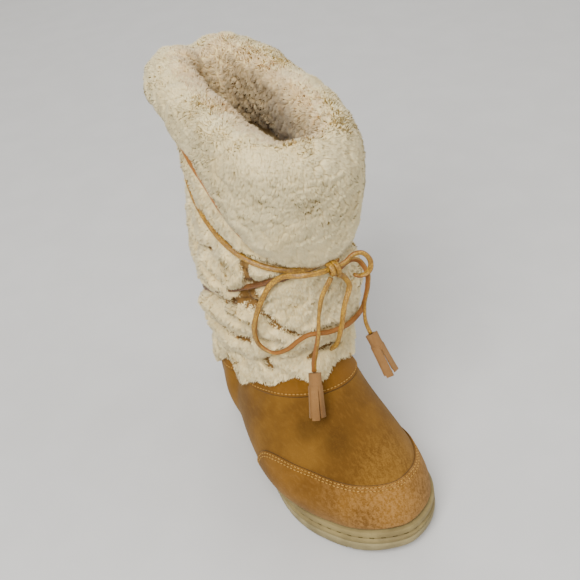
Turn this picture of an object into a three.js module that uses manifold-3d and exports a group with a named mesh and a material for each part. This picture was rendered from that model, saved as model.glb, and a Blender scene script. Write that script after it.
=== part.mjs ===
// A winter boot for the right foot: a suede foot with a stitched-on toe cap and ankle band, a sheepskin
// shaft with a turned-over cuff, a thong laced round the shaft and tied in front with tassels on its
// ends, and a stitched rubber cup sole. Millimetres, +Z up, toe towards -Y, inner side of the foot
// towards +X, origin on the floor under the middle of the heel.
import * as THREE from "three";
import { mergeVertices } from "three/addons/utils/BufferGeometryUtils.js";
import Module from "manifold-3d";

const wasm = await Module();
wasm.setup();

// Sole
const soleLength = 276; // heel back to toe tip
const ballWidth = 114; // widest part of the foot
const heelToOrigin = 42; // heel back to the origin
const soleStack = 23; // floor to the rim under the ball of the foot
const heelLift = 10; // how much higher the rim is at the heel
const toeSpring = 8; // rise of the tread at the toe tip
const archRise = 8; // rise of the tread under the arch
const treadThickness = 10; // outsole, floor to the parting line under the ball
const lugDepth = 3.5;
const lugGroove = 4.5; // width of a groove between lugs
const lugPitch = 21;
const insoleThickness = 5;
// Foot of the upper
const upperWall = 3;
const featherInset = 4; // sole edge to the foot of the upper's wall
const collarLength = 120; // front to back of the upper's top edge
const collarWidth = 90;
const collarFromHeel = 84; // heel back to the middle of that edge
const collarBack = 110; // its height at the back
const collarFront = 134;
const overlayThickness = 1.6; // toe cap and ankle band
const bandReach = 44; // ankle band, down the upper from its top edge
// Shaft and cuff
const shaftTopFront = 326; // top edge of the shaft, inside the cuff
const shaftTopBack = 344;
const pileThickness = 12; // sheepskin wall of the shaft
const coveredPile = 5; // where the cuff covers it
const hemOverlap = 28; // how far the shaft's hem hangs down over the ankle band
const cuffBottom = { back: 318, outer: 312, front: 246, inner: 300 }; // it hangs down in front
const cuffTopFront = 345;
const cuffTopBack = 362;
const cuffPile = 17; // outer layer of the cuff
const cuffLining = 14; // inner layer
const cuffInside = 44; // how far the inner layer reaches down
// Lace
const laceWidth = 4.6;
const laceThickness = 2.6;
const cordDiameter = 4; // the lace rolled into a cord, in the bow
const knotRadius = 4.7; // to the middle of the cord
const knotTurns = 2;
const knotUp = 0.515; // as a share of the shaft's rise
const knotAside = 8; // towards the inner side
const tasselLength = 37;
const tasselWidth = 13;
// All
const pieceGap = 0.3; // between pieces that touch
const laceGap = 0.8; // lace to fur

// Half widths of the sole as shares of the ball width, at shares of its length.
const outlineRows = [
  { along: 0.022, lateral: 0.165, medial: 0.155 },
  { along: 0.07, lateral: 0.275, medial: 0.255 },
  { along: 0.15, lateral: 0.345, medial: 0.315 },
  { along: 0.26, lateral: 0.37, medial: 0.3 },
  { along: 0.38, lateral: 0.42, medial: 0.265 },
  { along: 0.5, lateral: 0.48, medial: 0.29 },
  { along: 0.6, lateral: 0.522, medial: 0.36 },
  { along: 0.69, lateral: 0.533, medial: 0.42 },
  { along: 0.77, lateral: 0.5, medial: 0.465 },
  { along: 0.85, lateral: 0.42, medial: 0.455 },
  { along: 0.92, lateral: 0.315, medial: 0.375 },
  { along: 0.97, lateral: 0.175, medial: 0.25 },
];
const toeOffset = 0.04; // of the ball width, the toe tip towards the inner side

// Side of the sole, from its lower edge to its rim: share of the height, and mm outside the outline.
const midsoleSteps = [
  { up: 0, out: 0.2 },
  { up: 0.3, out: 1.0 },
  { up: 0.36, out: -0.9 },
  { up: 0.56, out: -0.9 },
  { up: 0.62, out: 0.5 },
  { up: 0.96, out: 0.2 },
  { up: 1, out: -0.8 },
];
const outsoleSteps = [
  { up: 0, out: -1.6 },
  { up: 0.25, out: 0.2 },
  { up: 0.8, out: 1.2 },
  { up: 1, out: 0.2 },
];

// Columns of the upper, from the sole's edge up to the collar. at: share of the way round, from the
// heel over the outer side. turn: degrees round the collar. bulge and lift: mm out and up of the lower
// handle. flare and drop: mm out and down of the upper handle.
const sectionRows = [
  { name: "heel", at: 0, turn: 0, bulge: 9, lift: 30, flare: 6, drop: 34 },
  { name: "outer heel", at: 0.1, turn: 48, bulge: 20, lift: 30, flare: 10, drop: 34 },
  { name: "outer waist", at: 0.21, turn: 92, bulge: 36, lift: 32, flare: 16, drop: 36 },
  { name: "outer ball", at: 0.31, turn: 128, bulge: 38, lift: 36, flare: 18, drop: 34 },
  { name: "outer toe", at: 0.41, turn: 157, bulge: 18, lift: 46, flare: 22, drop: 38 },
  { name: "toe", at: 0.5, turn: 180, bulge: 4, lift: 50, flare: 24, drop: 38 },
  { name: "inner toe", at: 0.59, turn: 203, bulge: 0, lift: 46, flare: 20, drop: 38 },
  { name: "inner ball", at: 0.69, turn: 232, bulge: -3, lift: 36, flare: 8, drop: 34 },
  { name: "inner waist", at: 0.79, turn: 268, bulge: 10, lift: 34, flare: 8, drop: 36 },
  { name: "inner heel", at: 0.9, turn: 312, bulge: 13, lift: 30, flare: 6, drop: 34 },
];

// Toe cap: how far it reaches up over the upper from the sole's edge, at shares of the way round.
const capRows = [
  { at: 0.25, reach: 0.1 },
  { at: 0.275, reach: 0.8 },
  { at: 0.31, reach: 1.28 },
  { at: 0.37, reach: 1.24 },
  { at: 0.44, reach: 1.02 },
  { at: 0.5, reach: 0.92 },
  { at: 0.56, reach: 0.85 },
  { at: 0.63, reach: 0.88 },
  { at: 0.69, reach: 0.86 },
  { at: 0.73, reach: 0.62 },
  { at: 0.76, reach: 0.1 },
];
const capReach = 42;

// Inner face of the shaft and cuff: height as a share from the collar to the shaft's top, half length
// and half width as shares of the collar's, and the middle's way forward of the collar's middle, in
// shares of the collar's length.
const shaftRows = [
  { up: 0, length: 1.05, width: 1.05, forward: 0.01, lean: 0, square: 2 },
  { up: 0.22, length: 1.17, width: 1.13, forward: 0.06, lean: 0, square: 2.05 },
  { up: 0.46, length: 1.16, width: 1.07, forward: 0.08, lean: -0.03, square: 2.1 },
  { up: 0.72, length: 1.17, width: 0.96, forward: 0.13, lean: -0.06, square: 2.3 },
  { up: 1, length: 1.46, width: 0.76, forward: 0.11, lean: -0.09, square: 3 },
];

// The lace's runs round the shaft: heights at the back, outer side, front and inner side, as shares of
// the way from the collar to the shaft's top. They cross, and press a trough into the fur.
const wrapRows = [
  { name: "upper", back: 0.82, outer: 0.81, front: 0.53, inner: 0.76 },
  { name: "middle", back: 0.8, outer: 0.65, front: 0.51, inner: 0.62 },
  { name: "lower", back: 0.15, outer: 0.3, front: 0.51, inner: 0.33 },
];

// Other folds, where the sheepskin has slumped. From and to are degrees round the shaft from the back
// over the outer side, start and end are heights as above, depth is a share of the pile's thickness.
const foldRows = [
  { from: 15, start: 0.6, to: 150, end: 0.36, sag: -0.03, depth: 0.32 },
  { from: 20, start: 0.42, to: 130, end: 0.22, sag: -0.02, depth: 0.34 },
  { from: 30, start: 0.12, to: 150, end: 0.13, sag: 0.03, depth: 0.36 },
  { from: 130, start: 0.03, to: 230, end: 0.16, sag: -0.06, depth: 0.34 },
  { from: 210, start: 0.16, to: 345, end: 0.42, sag: -0.02, depth: 0.34 },
  { from: 200, start: 0.3, to: 340, end: 0.62, sag: -0.03, depth: 0.32 },
  { from: 225, start: 0.04, to: 350, end: 0.16, sag: -0.02, depth: 0.34 },
];
// Waves in the shaft's hem: how many go round, and how deep in mm.
const hemWaves = [
  { count: 7, depth: 3 },
  { count: 11, depth: 2 },
];
const wrapDepth = 0.42; // of the pile's thickness, under the lace
const foldSpread = 9; // mm, half the width of a fold

const outlineSamples = 48; // points round the sole and upper
const upperRows = 8; // rows of facets up the upper
const turnSamples = 40; // points round the shaft

const clamp = THREE.MathUtils.clamp;
const lerp = THREE.MathUtils.lerp;
const smooth = (low, high, value) => THREE.MathUtils.smoothstep(value, low, high);

// Value of one column of a table at a place, smooth between the rows.
function tableValue(rows, placeKey, valueKey, place, period = 0) {
  const last = rows.length - 1;
  const rowAt = (i) => {
    const turns = period ? Math.floor(i / rows.length) : 0;
    const row = rows[period ? i - turns * rows.length : clamp(i, 0, last)];
    const shift = valueKey === "turn" ? 360 * turns : 0;
    return { x: row[placeKey] + period * turns, y: row[valueKey] + shift };
  };
  let i = period ? -1 : 0;
  while (i < (period ? last : last - 1) && rowAt(i + 1).x <= place) i += 1;
  const [before, left, right, after] = [rowAt(i - 1), rowAt(i), rowAt(i + 1), rowAt(i + 2)];
  const span = right.x - left.x;
  const slope = (p, q) => (q.x > p.x ? (q.y - p.y) / (q.x - p.x) : 0);
  const m0 = slope(before, right) * span;
  const m1 = slope(left, after) * span;
  const t = clamp((place - left.x) / span, 0, 1);
  const t2 = t * t;
  const t3 = t2 * t;
  const fromLeft = (2 * t3 - 3 * t2 + 1) * left.y + (t3 - 2 * t2 + t) * m0;
  const fromRight = (3 * t2 - 2 * t3) * right.y + (t3 - t2) * m1;
  return fromLeft + fromRight;
}

// The sole's outline, from the heel over the outer side to the toe and back over the inner side.
const outlineCurve = new THREE.CatmullRomCurve3(
  [
    new THREE.Vector3(0, heelToOrigin, 0),
    ...outlineRows.map((row) => planPoint(-row.lateral, row.along)),
    planPoint(toeOffset, 1),
    ...[...outlineRows].reverse().map((row) => planPoint(row.medial, row.along)),
  ],
  true,
  "centripetal",
);

function planPoint(across, along) {
  return new THREE.Vector3(across * ballWidth, heelToOrigin - along * soleLength, 0);
}

const alongOf = (y) => clamp((heelToOrigin - y) / soleLength, 0, 1);

function outlinePoint(at, out, height) {
  const share = at - Math.floor(at);
  const point = outlineCurve.getPoint(share);
  const tangent = outlineCurve.getTangent(share);
  point.x += tangent.y * out;
  point.y -= tangent.x * out;
  return point.setZ(height(alongOf(point.y)));
}

const rimHeight = (along) =>
  soleStack + heelLift * (1 - smooth(0.2, 0.62, along)) + toeSpring * smooth(0.66, 1.08, along);
const partingHeight = (along) =>
  treadThickness + heelLift * (1 - smooth(0.2, 0.6, along)) + toeSpring * smooth(0.68, 1.06, along);

// The tread's lower face: heel, breast of the heel, arch, flat forefoot and toe spring.
function treadHeight(along) {
  const arch = archRise * smooth(0.315, 0.335, along) * (1 - smooth(0.36, 0.56, along));
  const toe = toeSpring * Math.max(0, (along - 0.76) / 0.24) ** 1.8;
  const heelBevel = 2.5 * Math.max(0, 1 - along / 0.05);
  return arch + toe + heelBevel;
}

function meshFrom(positions, index) {
  const geometry = new THREE.BufferGeometry();
  geometry.setAttribute("position", new THREE.Float32BufferAttribute(positions, 3));
  geometry.setIndex(index);
  return geometry;
}

function quad(index, a, b, c, d) {
  index.push(a, b, c, a, c, d);
}

// The facets between two neighbouring columns of points.
function strip(index, left, right) {
  for (let k = 0; k + 1 < left.length; k++) quad(index, left[k], right[k], right[k + 1], left[k + 1]);
}

// A closed stack of rings, lowest first, each counter-clockwise from above and starting at the heel.
function stackGeometry(rings) {
  const n = rings[0].length;
  const positions = rings.flat().flatMap((p) => [p.x, p.y, p.z]);
  const index = [];
  for (let k = 0; k + 1 < rings.length; k++)
    for (let i = 0; i < n; i++) {
      const j = (i + 1) % n;
      quad(index, k * n + i, k * n + j, (k + 1) * n + j, (k + 1) * n + i);
    }
  const top = (rings.length - 1) * n;
  const half = n / 2;
  const cap = (a, b, c) => {
    index.push(top + a, top + b, top + c);
    index.push(a, c, b);
  };
  cap(0, 1, n - 1);
  for (let i = 1; i < half - 1; i++) {
    cap(i, i + 1, n - i - 1);
    cap(i, n - i - 1, n - i);
  }
  cap(half - 1, half, half + 1);
  return meshFrom(positions, index);
}

// A wall between an outer and an inner grid of points, closed at its edges. Each grid is a list of
// columns that run upwards, and the columns run counter-clockwise; around: the last meets the first.
function wallGeometry(outer, inner, around) {
  const positions = [];
  const index = [];
  const put = (grid) =>
    grid.map((column) =>
      column.map((p) => {
        positions.push(p.x, p.y, p.z);
        return positions.length / 3 - 1;
      }),
    );
  const out = put(outer);
  const inn = put(inner);
  const columns = outer.length;
  const pairs = around ? columns : columns - 1;
  for (let i = 0; i < pairs; i++) {
    const j = (i + 1) % columns;
    strip(index, out[i], out[j]);
    strip(index, inn[j], inn[i]);
    quad(index, inn[i][0], inn[j][0], out[j][0], out[i][0]);
    quad(index, out[i].at(-1), out[j].at(-1), inn[j].at(-1), inn[i].at(-1));
  }
  if (!around) {
    strip(index, inn[0], out[0]);
    strip(index, out.at(-1), inn.at(-1));
  }
  return meshFrom(positions, index);
}

function solidOf(geometry) {
  const bare = geometry.index ? geometry.toNonIndexed() : geometry.clone();
  bare.deleteAttribute("normal");
  bare.deleteAttribute("uv");
  const merged = mergeVertices(bare, 1e-4);
  return new wasm.Manifold(
    new wasm.Mesh({
      numProp: 3,
      vertProperties: new Float32Array(merged.attributes.position.array),
      triVerts: new Uint32Array(merged.index.array),
    }),
  );
}

function geometryOf(solid) {
  const mesh = solid.getMesh();
  return meshFrom(Array.from(mesh.vertProperties), Array.from(mesh.triVerts));
}

const range = (count) => Array.from({ length: count }, (_, i) => i);

// Sole

function soleRings(steps, bottom, top) {
  return steps.map((step) =>
    range(outlineSamples).map((i) =>
      outlinePoint(i / outlineSamples, step.out, (along) => lerp(bottom(along), top(along), step.up)),
    ),
  );
}

function midsoleGeometry() {
  return stackGeometry(soleRings(midsoleSteps, (along) => partingHeight(along) + pieceGap, rimHeight));
}

function outsoleGeometry() {
  let tread = solidOf(stackGeometry(soleRings(outsoleSteps, () => 0, partingHeight)));
  const reach = ballWidth;
  // Everything under the tread's lower face, as a slab that runs right across.
  const floorSlab = new THREE.Shape();
  const deep = -soleStack;
  floorSlab.moveTo(heelToOrigin + reach, deep);
  const samples = 70;
  for (const i of range(samples + 1)) {
    const along = lerp(-0.02, 1.02, i / samples);
    const height = treadHeight(clamp(along, 0, 1));
    floorSlab.lineTo(heelToOrigin - along * soleLength, height > 0.05 ? height : -1);
  }
  floorSlab.lineTo(heelToOrigin - soleLength - reach, deep);
  const slab = new THREE.ExtrudeGeometry(floorSlab, { depth: 2 * reach, bevelEnabled: false });
  slab.translate(0, 0, -reach);
  slab.applyMatrix4(new THREE.Matrix4().makeBasis(
    new THREE.Vector3(0, 1, 0),
    new THREE.Vector3(0, 0, 1),
    new THREE.Vector3(1, 0, 0),
  ));
  tread = tread.subtract(solidOf(slab));
  // Grooves between the lugs, across the forefoot and the heel.
  const groove = (along) => {
    const box = new THREE.BoxGeometry(2 * reach, lugGroove, 2 * lugDepth);
    box.translate(0, heelToOrigin - along * soleLength, treadHeight(along));
    return solidOf(box);
  };
  const pitch = lugPitch / soleLength;
  for (let along = 0.6; along < 0.98; along += pitch) tread = tread.subtract(groove(along));
  for (let along = 0.1; along < 0.28; along += pitch) tread = tread.subtract(groove(along));
  return geometryOf(tread);
}

function insoleGeometry() {
  const inset = -(featherInset + upperWall + pieceGap + 1);
  const lift = (by) => (along) => rimHeight(along) + pieceGap + by;
  const ring = (out, height) =>
    range(outlineSamples).map((i) => outlinePoint(i / outlineSamples, out, height));
  return stackGeometry([
    ring(inset, lift(0)),
    ring(inset, lift(insoleThickness * 0.6)),
    ring(inset - 2, lift(insoleThickness)),
  ]);
}

// Foot of the upper

// A point of the collar's ring: an oval round the ankle, degrees from the back over the outer side.
function collarPoint(turn, scaleLength = 1, scaleWidth = 1, forward = 0) {
  const angle = THREE.MathUtils.degToRad(turn);
  const middle = heelToOrigin - collarFromHeel - forward * collarLength;
  return new THREE.Vector3(
    (-Math.sin(angle) * collarWidth * scaleWidth) / 2,
    middle + (Math.cos(angle) * collarLength * scaleLength) / 2,
    lerp(collarBack, collarFront, (1 - Math.cos(angle)) / 2),
  );
}

const columnCache = new Map();

function upperColumn(at) {
  const place = at - Math.floor(at);
  const key = place.toFixed(5);
  if (!columnCache.has(key)) {
    const value = (name) => tableValue(sectionRows, "at", name, place, 1);
    const foot = outlinePoint(place, -featherInset, (along) => rimHeight(along) + pieceGap);
    const top = collarPoint(value("turn"));
    const outward = foot.clone().sub(top).setZ(0);
    const tangent = outlineCurve.getTangent(place);
    const sideways = new THREE.Vector3(tangent.y, -tangent.x, 0);
    const away = outward.length() > 25 ? outward.normalize() : sideways.clone();
    const lower = foot.clone().addScaledVector(sideways, value("bulge"));
    lower.z += value("lift");
    const upper = top.clone().addScaledVector(away, value("flare"));
    upper.z -= value("drop");
    columnCache.set(key, new THREE.CubicBezierCurve3(foot, lower, upper, top));
  }
  return columnCache.get(key);
}

// A point of the upper's outer face at a share of its column's length, moved out along its normal.
function upperPoint(at, share, out) {
  const step = 0.004;
  const curve = upperColumn(at);
  const point = curve.getPointAt(share);
  if (!out) return point;
  const round = upperColumn(at + step).getPointAt(share).sub(upperColumn(at - step).getPointAt(share));
  const normal = round.cross(curve.getTangentAt(share)).normalize();
  return point.addScaledVector(normal, out);
}

const upperPlaces = range(outlineSamples).map((i) => i / outlineSamples);

// The upper's outer face moved out, as columns of points from the sole's edge up to the collar.
function upperGrid(out) {
  return upperPlaces.map((at) =>
    range(upperRows + 1).map((k) => {
      const point = upperPoint(at, k / upperRows, out);
      if (k === 0 || k === upperRows) point.z = upperPoint(at, k / upperRows, 0).z;
      return point;
    }),
  );
}

function upperGeometry() {
  return wallGeometry(upperGrid(0), upperGrid(-upperWall), true);
}

// The upper as a filled form, moved out: what lies on the upper is cut with it.
function upperForm(out) {
  const grid = upperGrid(out);
  return solidOf(stackGeometry(range(upperRows + 1).map((k) => grid.map((column) => column[k]))));
}

// A thin piece laid on the upper between two reaches, each in mm along the column from the sole's edge.
function overlayGeometry(places, low, high, around) {
  const rows = 3;
  const blockOutside = 3 * overlayThickness + 1;
  const blockInside = 4;
  const column = (at, out) => {
    const length = upperColumn(at).getLength();
    return range(rows + 1).map((k) => {
      const reach = lerp(low(at, length), high(at, length), k / rows);
      return upperPoint(at, clamp(reach / length, 0, 1), out);
    });
  };
  const outer = places.map((at) => column(at, blockOutside));
  const inner = places.map((at) => column(at, -blockInside));
  const block = wallGeometry(outer, inner, around);
  const shell = upperForm(pieceGap + overlayThickness).subtract(upperForm(pieceGap));
  return geometryOf(shell.intersect(solidOf(block)));
}

function toeCapGeometry() {
  const columns = 26;
  const first = capRows[0].at;
  const last = capRows.at(-1).at;
  const places = range(columns + 1).map((i) => lerp(first, last, i / columns));
  const low = () => 4 * pieceGap;
  const high = (at) => low() + capReach * tableValue(capRows, "at", "reach", at);
  return overlayGeometry(places, low, high, false);
}

const bandLow = (at, length) => length - bandReach * (0.72 + 0.28 * Math.sin(Math.PI * at) ** 4);

function ankleBandGeometry() {
  const places = range(outlineSamples).map((i) => (i + 0.5) / outlineSamples);
  return overlayGeometry(places, bandLow, (at, length) => length - 1, true);
}

// Shaft and cuff

// Where on the upper's outline a column ends at these degrees round the collar.
function placeOfTurn(turn) {
  let low = 0;
  let high = 1;
  while (high - low > 1e-7) {
    const middle = (low + high) / 2;
    if (tableValue(sectionRows, "at", "turn", middle, 1) < turn) low = middle;
    else high = middle;
  }
  return (low + high) / 2;
}

// Share of the way from the back to the front.
const frontShare = (turn) => (1 - Math.cos(THREE.MathUtils.degToRad(turn))) / 2;
const shaftHigh = (turn) => lerp(shaftTopBack, shaftTopFront, frontShare(turn));
const shaftRise = (turn) => shaftHigh(turn) - collarPoint(turn).z;

// A point of the shaft's inner face moved out, at a height given as a share of the shaft's rise.
function shaftPoint(turn, up, out) {
  const value = (name) => tableValue(shaftRows, "up", name, up);
  const halfLength = (collarLength * value("length")) / 2;
  const halfWidth = (collarWidth * value("width")) / 2;
  const power = 2 / value("square");
  const bent = (share) => Math.sign(share) * Math.abs(share) ** power;
  const onRing = (degrees) => {
    const angle = THREE.MathUtils.degToRad(degrees);
    return new THREE.Vector3(-bent(Math.sin(angle)) * halfWidth, bent(Math.cos(angle)) * halfLength, 0);
  };
  const round = onRing(turn + 3).sub(onRing(turn - 3));
  const point = onRing(turn).addScaledVector(new THREE.Vector3(round.y, -round.x, 0).normalize(), out);
  point.x += value("lean") * collarWidth;
  point.y += heelToOrigin - collarFromHeel - value("forward") * collarLength;
  return point.setZ(collarPoint(turn).z + up * shaftRise(turn));
}

// A value at these degrees round the shaft, through four given at the back, outer side, front and inner.
function fourWay(values, turn) {
  const angle = THREE.MathUtils.degToRad(turn);
  const { back, outer, front, inner } = values;
  const middle = (back + outer + front + inner) / 4;
  const twice = (back + front - outer - inner) / 4;
  const slant = ((back - front) * Math.cos(angle) + (outer - inner) * Math.sin(angle)) / 2;
  return middle + slant + twice * Math.cos(2 * angle);
}

// How far the folds press the fur in, as a share of its thickness; the ridges beside them are negative.
function foldShare(turn, up) {
  const press = (middle, depth) => {
    const away = ((up - middle) * (shaftTopBack - collarBack)) / foldSpread;
    return depth * (Math.exp(-away * away) - 0.4 * Math.exp(-((Math.abs(away) - 1.9) ** 2)));
  };
  let pressed = 0;
  for (const wrap of wrapRows) pressed = Math.max(pressed, press(fourWay(wrap, turn), wrapDepth));
  let slumped = 0;
  for (const fold of foldRows) {
    const share = (turn - fold.from) / (fold.to - fold.from);
    if (share <= 0 || share >= 1) continue;
    const middle = lerp(fold.start, fold.end, share) + 4 * fold.sag * share * (1 - share);
    slumped += smooth(0, 0.2, share) * smooth(0, 0.2, 1 - share) * press(middle, fold.depth);
  }
  return clamp(pressed + slumped * (1 - pressed / wrapDepth), -0.35, 0.6);
}

const cuffLow = (turn) => fourWay(cuffBottom, turn);
const cuffHigh = (turn) => lerp(cuffTopBack, cuffTopFront, frontShare(turn));
const upOfHeight = (turn, z) => (z - collarPoint(turn).z) / shaftRise(turn);

function shaftPile(turn, up) {
  const under = smooth(-0.02, 0.05, up - upOfHeight(turn, cuffLow(turn)));
  return lerp(pileThickness * (1 - foldShare(turn, up)), coveredPile, under);
}

const shaftTurns = range(turnSamples).map((i) => (360 * i) / turnSamples);
const onBand = 2 * pieceGap + overlayThickness;

// A point in the hem of the shaft, which follows the upper: mm down from its top edge.
function hemPoint(turn, down, out) {
  const at = placeOfTurn(turn);
  const length = upperColumn(at).getLength();
  return upperPoint(at, (length - down) / length, out);
}

// The shaft's wall as two grids of points, each face moved by grow away from the wall's middle.
function shaftWall(grow) {
  const hemRows = [0.35, 0.9, 1]; // how full the hem is, from its edge up
  const rows = 19;
  const hem = (turn) => {
    const angle = THREE.MathUtils.degToRad(turn);
    return hemWaves.reduce((sum, wave) => sum + wave.depth * Math.sin(wave.count * angle), hemOverlap);
  };
  const outer = shaftTurns.map((turn) => [
    ...hemRows.map((full, k) =>
      hemPoint(turn, hem(turn) * (1 - k / hemRows.length) - 2, onBand + pileThickness * full + grow),
    ),
    ...range(rows).map((k) => {
      const up = lerp(0.02, 1, k / (rows - 1));
      return shaftPoint(turn, up, shaftPile(turn, up) + grow);
    }),
  ]);
  const inner = shaftTurns.map((turn) => [
    hemPoint(turn, hem(turn) - 4, onBand - 1 - grow),
    hemPoint(turn, hem(turn) * 0.5, onBand - 1 - grow),
    hemPoint(turn, 0, onBand - 1 - grow),
    ...[0.06, 0.3, 0.55, 0.8, 1].map((up) => shaftPoint(turn, up, -grow)),
  ]);
  for (const grid of [outer, inner]) for (const column of grid) column.at(-1).z += grow;
  return solidOf(wallGeometry(outer, inner, true));
}

// A run of the lace round the shaft, lying in its trough; grown, it is the channel it needs in the fur.
function wrapSolid(wrap, grow) {
  const column = (turn, depth) =>
    [-1, -0.6, 0.6, 1].map((side) => {
      const up = fourWay(wrap, turn);
      const lift = Math.abs(side) < 1 ? depth : laceThickness / 2 + Math.sign(depth - 1) * grow;
      const point = shaftPoint(turn, up, shaftPile(turn, up) + laceGap + lift);
      point.z += side * (laceWidth / 2 + grow);
      return point;
    });
  const outer = shaftTurns.map((turn) => column(turn, laceThickness + 4 * grow));
  const inner = shaftTurns.map((turn) => column(turn, -grow));
  return solidOf(wallGeometry(outer, inner, true));
}

function wrapsSolid(grow) {
  return wrapRows.map((wrap) => wrapSolid(wrap, grow)).reduce((all, one) => all.add(one));
}

function shaftGeometry() {
  return geometryOf(shaftWall(0).subtract(upperForm(onBand)).subtract(wrapsSolid(laceGap)));
}

// The cuff is folded over the shaft's top edge: its section is a hook, deep outside and short inside.
function cuffGeometry() {
  const at = (turn, z, out) => shaftPoint(turn, Math.min(upOfHeight(turn, z), 1), out).setZ(z);
  const overShaft = coveredPile - 1;
  const insideLow = (turn) => {
    const rise = cuffHigh(turn) - cuffLow(turn);
    return Math.min(shaftHigh(turn) - cuffInside, cuffLow(turn) + rise * 0.6);
  };
  const outer = shaftTurns.map((turn) => {
    const low = cuffLow(turn);
    const rise = cuffHigh(turn) - low;
    const inside = insideLow(turn);
    return [
      at(turn, low + 3, overShaft + 2),
      at(turn, low, overShaft + cuffPile * 0.6),
      at(turn, low + rise * 0.12, overShaft + cuffPile),
      at(turn, low + rise * 0.32, overShaft + cuffPile * 1.15),
      at(turn, low + rise * 0.55, overShaft + cuffPile * 1.12),
      at(turn, low + rise * 0.78, overShaft + cuffPile * 0.95),
      at(turn, low + rise * 0.92, overShaft + cuffPile * 0.6),
      at(turn, low + rise, overShaft * 0.5 + cuffPile * 0.1),
      at(turn, low + rise * 0.93, -cuffLining * 0.7),
      at(turn, low + rise * 0.8, -cuffLining),
      at(turn, lerp(inside, low + rise * 0.8, 0.3), -cuffLining * 1.05),
      at(turn, inside, -cuffLining * 0.7),
    ];
  });
  const inner = shaftTurns.map((turn) => {
    const low = cuffLow(turn) + 4;
    const high = shaftHigh(turn) - 2;
    return [
      at(turn, low, overShaft),
      at(turn, lerp(low, high, 0.5), overShaft),
      at(turn, high, overShaft),
      at(turn, high, 1),
      at(turn, Math.min(insideLow(turn) + 3, high - 1), 1),
    ];
  });
  return geometryOf(solidOf(wallGeometry(outer, inner, true)).subtract(shaftWall(pieceGap)));
}

// Lace: the bow in front and the ends that hang from it

// The bow is placed from the middle of its knot, which lies on the front of the fur.
const knotOut = pileThickness + knotRadius + cordDiameter / 2 + 2 * laceGap;
const knotPlace = shaftPoint(180, knotUp, knotOut);
knotPlace.x += knotAside;

// A round cord through points given from the knot, as [right, back, up].
function cordGeometry(points, steps) {
  const places = points.map(([x, y, z]) => new THREE.Vector3(x, y, z).add(knotPlace));
  const section = new THREE.Shape();
  section.absarc(0, 0, cordDiameter / 2, 0, 2 * Math.PI);
  const extrudePath = new THREE.CatmullRomCurve3(places, false, "centripetal");
  return new THREE.ExtrudeGeometry(section, { extrudePath, steps, bevelEnabled: false, curveSegments: 8 });
}

// The knot: the lace wound round the strands that pass through it.
const knotPoints = range(knotTurns * 8 + 1).map((i) => {
  const angle = (Math.PI * i) / 4 + 1;
  const across = (i / 8 - knotTurns / 2) * (cordDiameter + 2 * pieceGap);
  return [across, Math.cos(angle) * knotRadius, Math.sin(angle) * knotRadius];
});
const leftLoopPoints = [
  [-4.5, 0, 0],
  [-16, -0.5, 2],
  [-26, 3, 2.5],
  [-36, 12.5, 0.5],
  [-44, 21, -9],
  [-51, 24.5, -22],
  [-55.5, 29, -37],
  [-58, 32.5, -55],
  [-54.5, 34, -72],
  [-47.5, 26.5, -78],
  [-39, 18, -73],
  [-31.5, 11, -63],
  [-24, 6, -57],
  [-15, 3.5, -58],
  [-6.6, 4, -61],
  [9, 6.5, -64],
  [22, 13.5, -67],
  [35, 23.5, -70],
  [45, 34, -71],
];
const rightLoopPoints = [
  [4.5, 0, 0],
  [10, -0.5, 1.5],
  [16, -1.5, 6],
  [23, -3.5, 6],
  [28, -6, -1.5],
  [27, -5.5, -11],
  [21, -3, -14.5],
  [15.5, -3.5, -11],
];
const shortEndPoints = [
  [3.2, 0.5, -7.6],
  [8, 2, -12],
  [13, 2, -23],
  [6, -0.5, -38],
  [0.5, -1.5, -59],
  [-2, 3, -75],
  [-2.5, 12, -86],
];
const firstCordPoints = [
  [-3.2, 0, -7.6],
  [-13, -1, -21],
  [-17, -1.5, -35],
  [-20.5, -2.5, -55],
  [-22.5, 1, -73],
  [-22.5, 6, -88],
  [-22.5, 7, -96],
];
const secondCordPoints = [
  [6.9, 2.1, -3.6],
  [13, 5.5, -4.5],
  [21, 7, -5],
  [26.5, 6, -9],
  [29, 1, -18],
  [29.5, 3, -33],
  [29, 8, -51],
  [30, 10, -72],
  [32, 7, -83],
];

// A tassel: suede rolled round the cord's end, its lower part slit into strips that spread.
function tasselGeometry(points, lean) {
  const strips = 6;
  const head = tasselLength * 0.34;
  const rooted = 3; // a strip's start inside the rolled head
  const stripLength = tasselLength - head + rooted;
  const low = tasselWidth * 0.46;
  const roll = new THREE.CylinderGeometry(tasselWidth * 0.42, low, head, 12);
  let tassel = solidOf(roll.translate(0, -head / 2, 0));
  for (const i of range(strips)) {
    const strip = new THREE.BoxGeometry(tasselWidth * 0.4, stripLength, overlayThickness);
    strip.translate(0, -stripLength / 2, 0);
    strip.rotateX(-0.07 - 0.03 * (i % 2));
    strip.translate(0, rooted - head, low - 0.7 * overlayThickness);
    strip.rotateY((2 * Math.PI * i) / strips + 0.2);
    tassel = tassel.add(solidOf(strip));
  }
  const end = new THREE.Vector3(...points.at(-1)).add(knotPlace);
  const cordEnd = new THREE.Vector3(...points.at(-2)).add(knotPlace).sub(end).negate();
  const down = new THREE.Vector3(...lean).normalize();
  const turn = new THREE.Quaternion().setFromUnitVectors(new THREE.Vector3(0, -1, 0), down);
  const geometry = geometryOf(tassel);
  geometry.applyQuaternion(turn);
  end.addScaledVector(down, (cordDiameter / 2) * Math.sin(cordEnd.angleTo(down)) + pieceGap);
  return geometry.translate(end.x, end.y, end.z);
}

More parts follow.
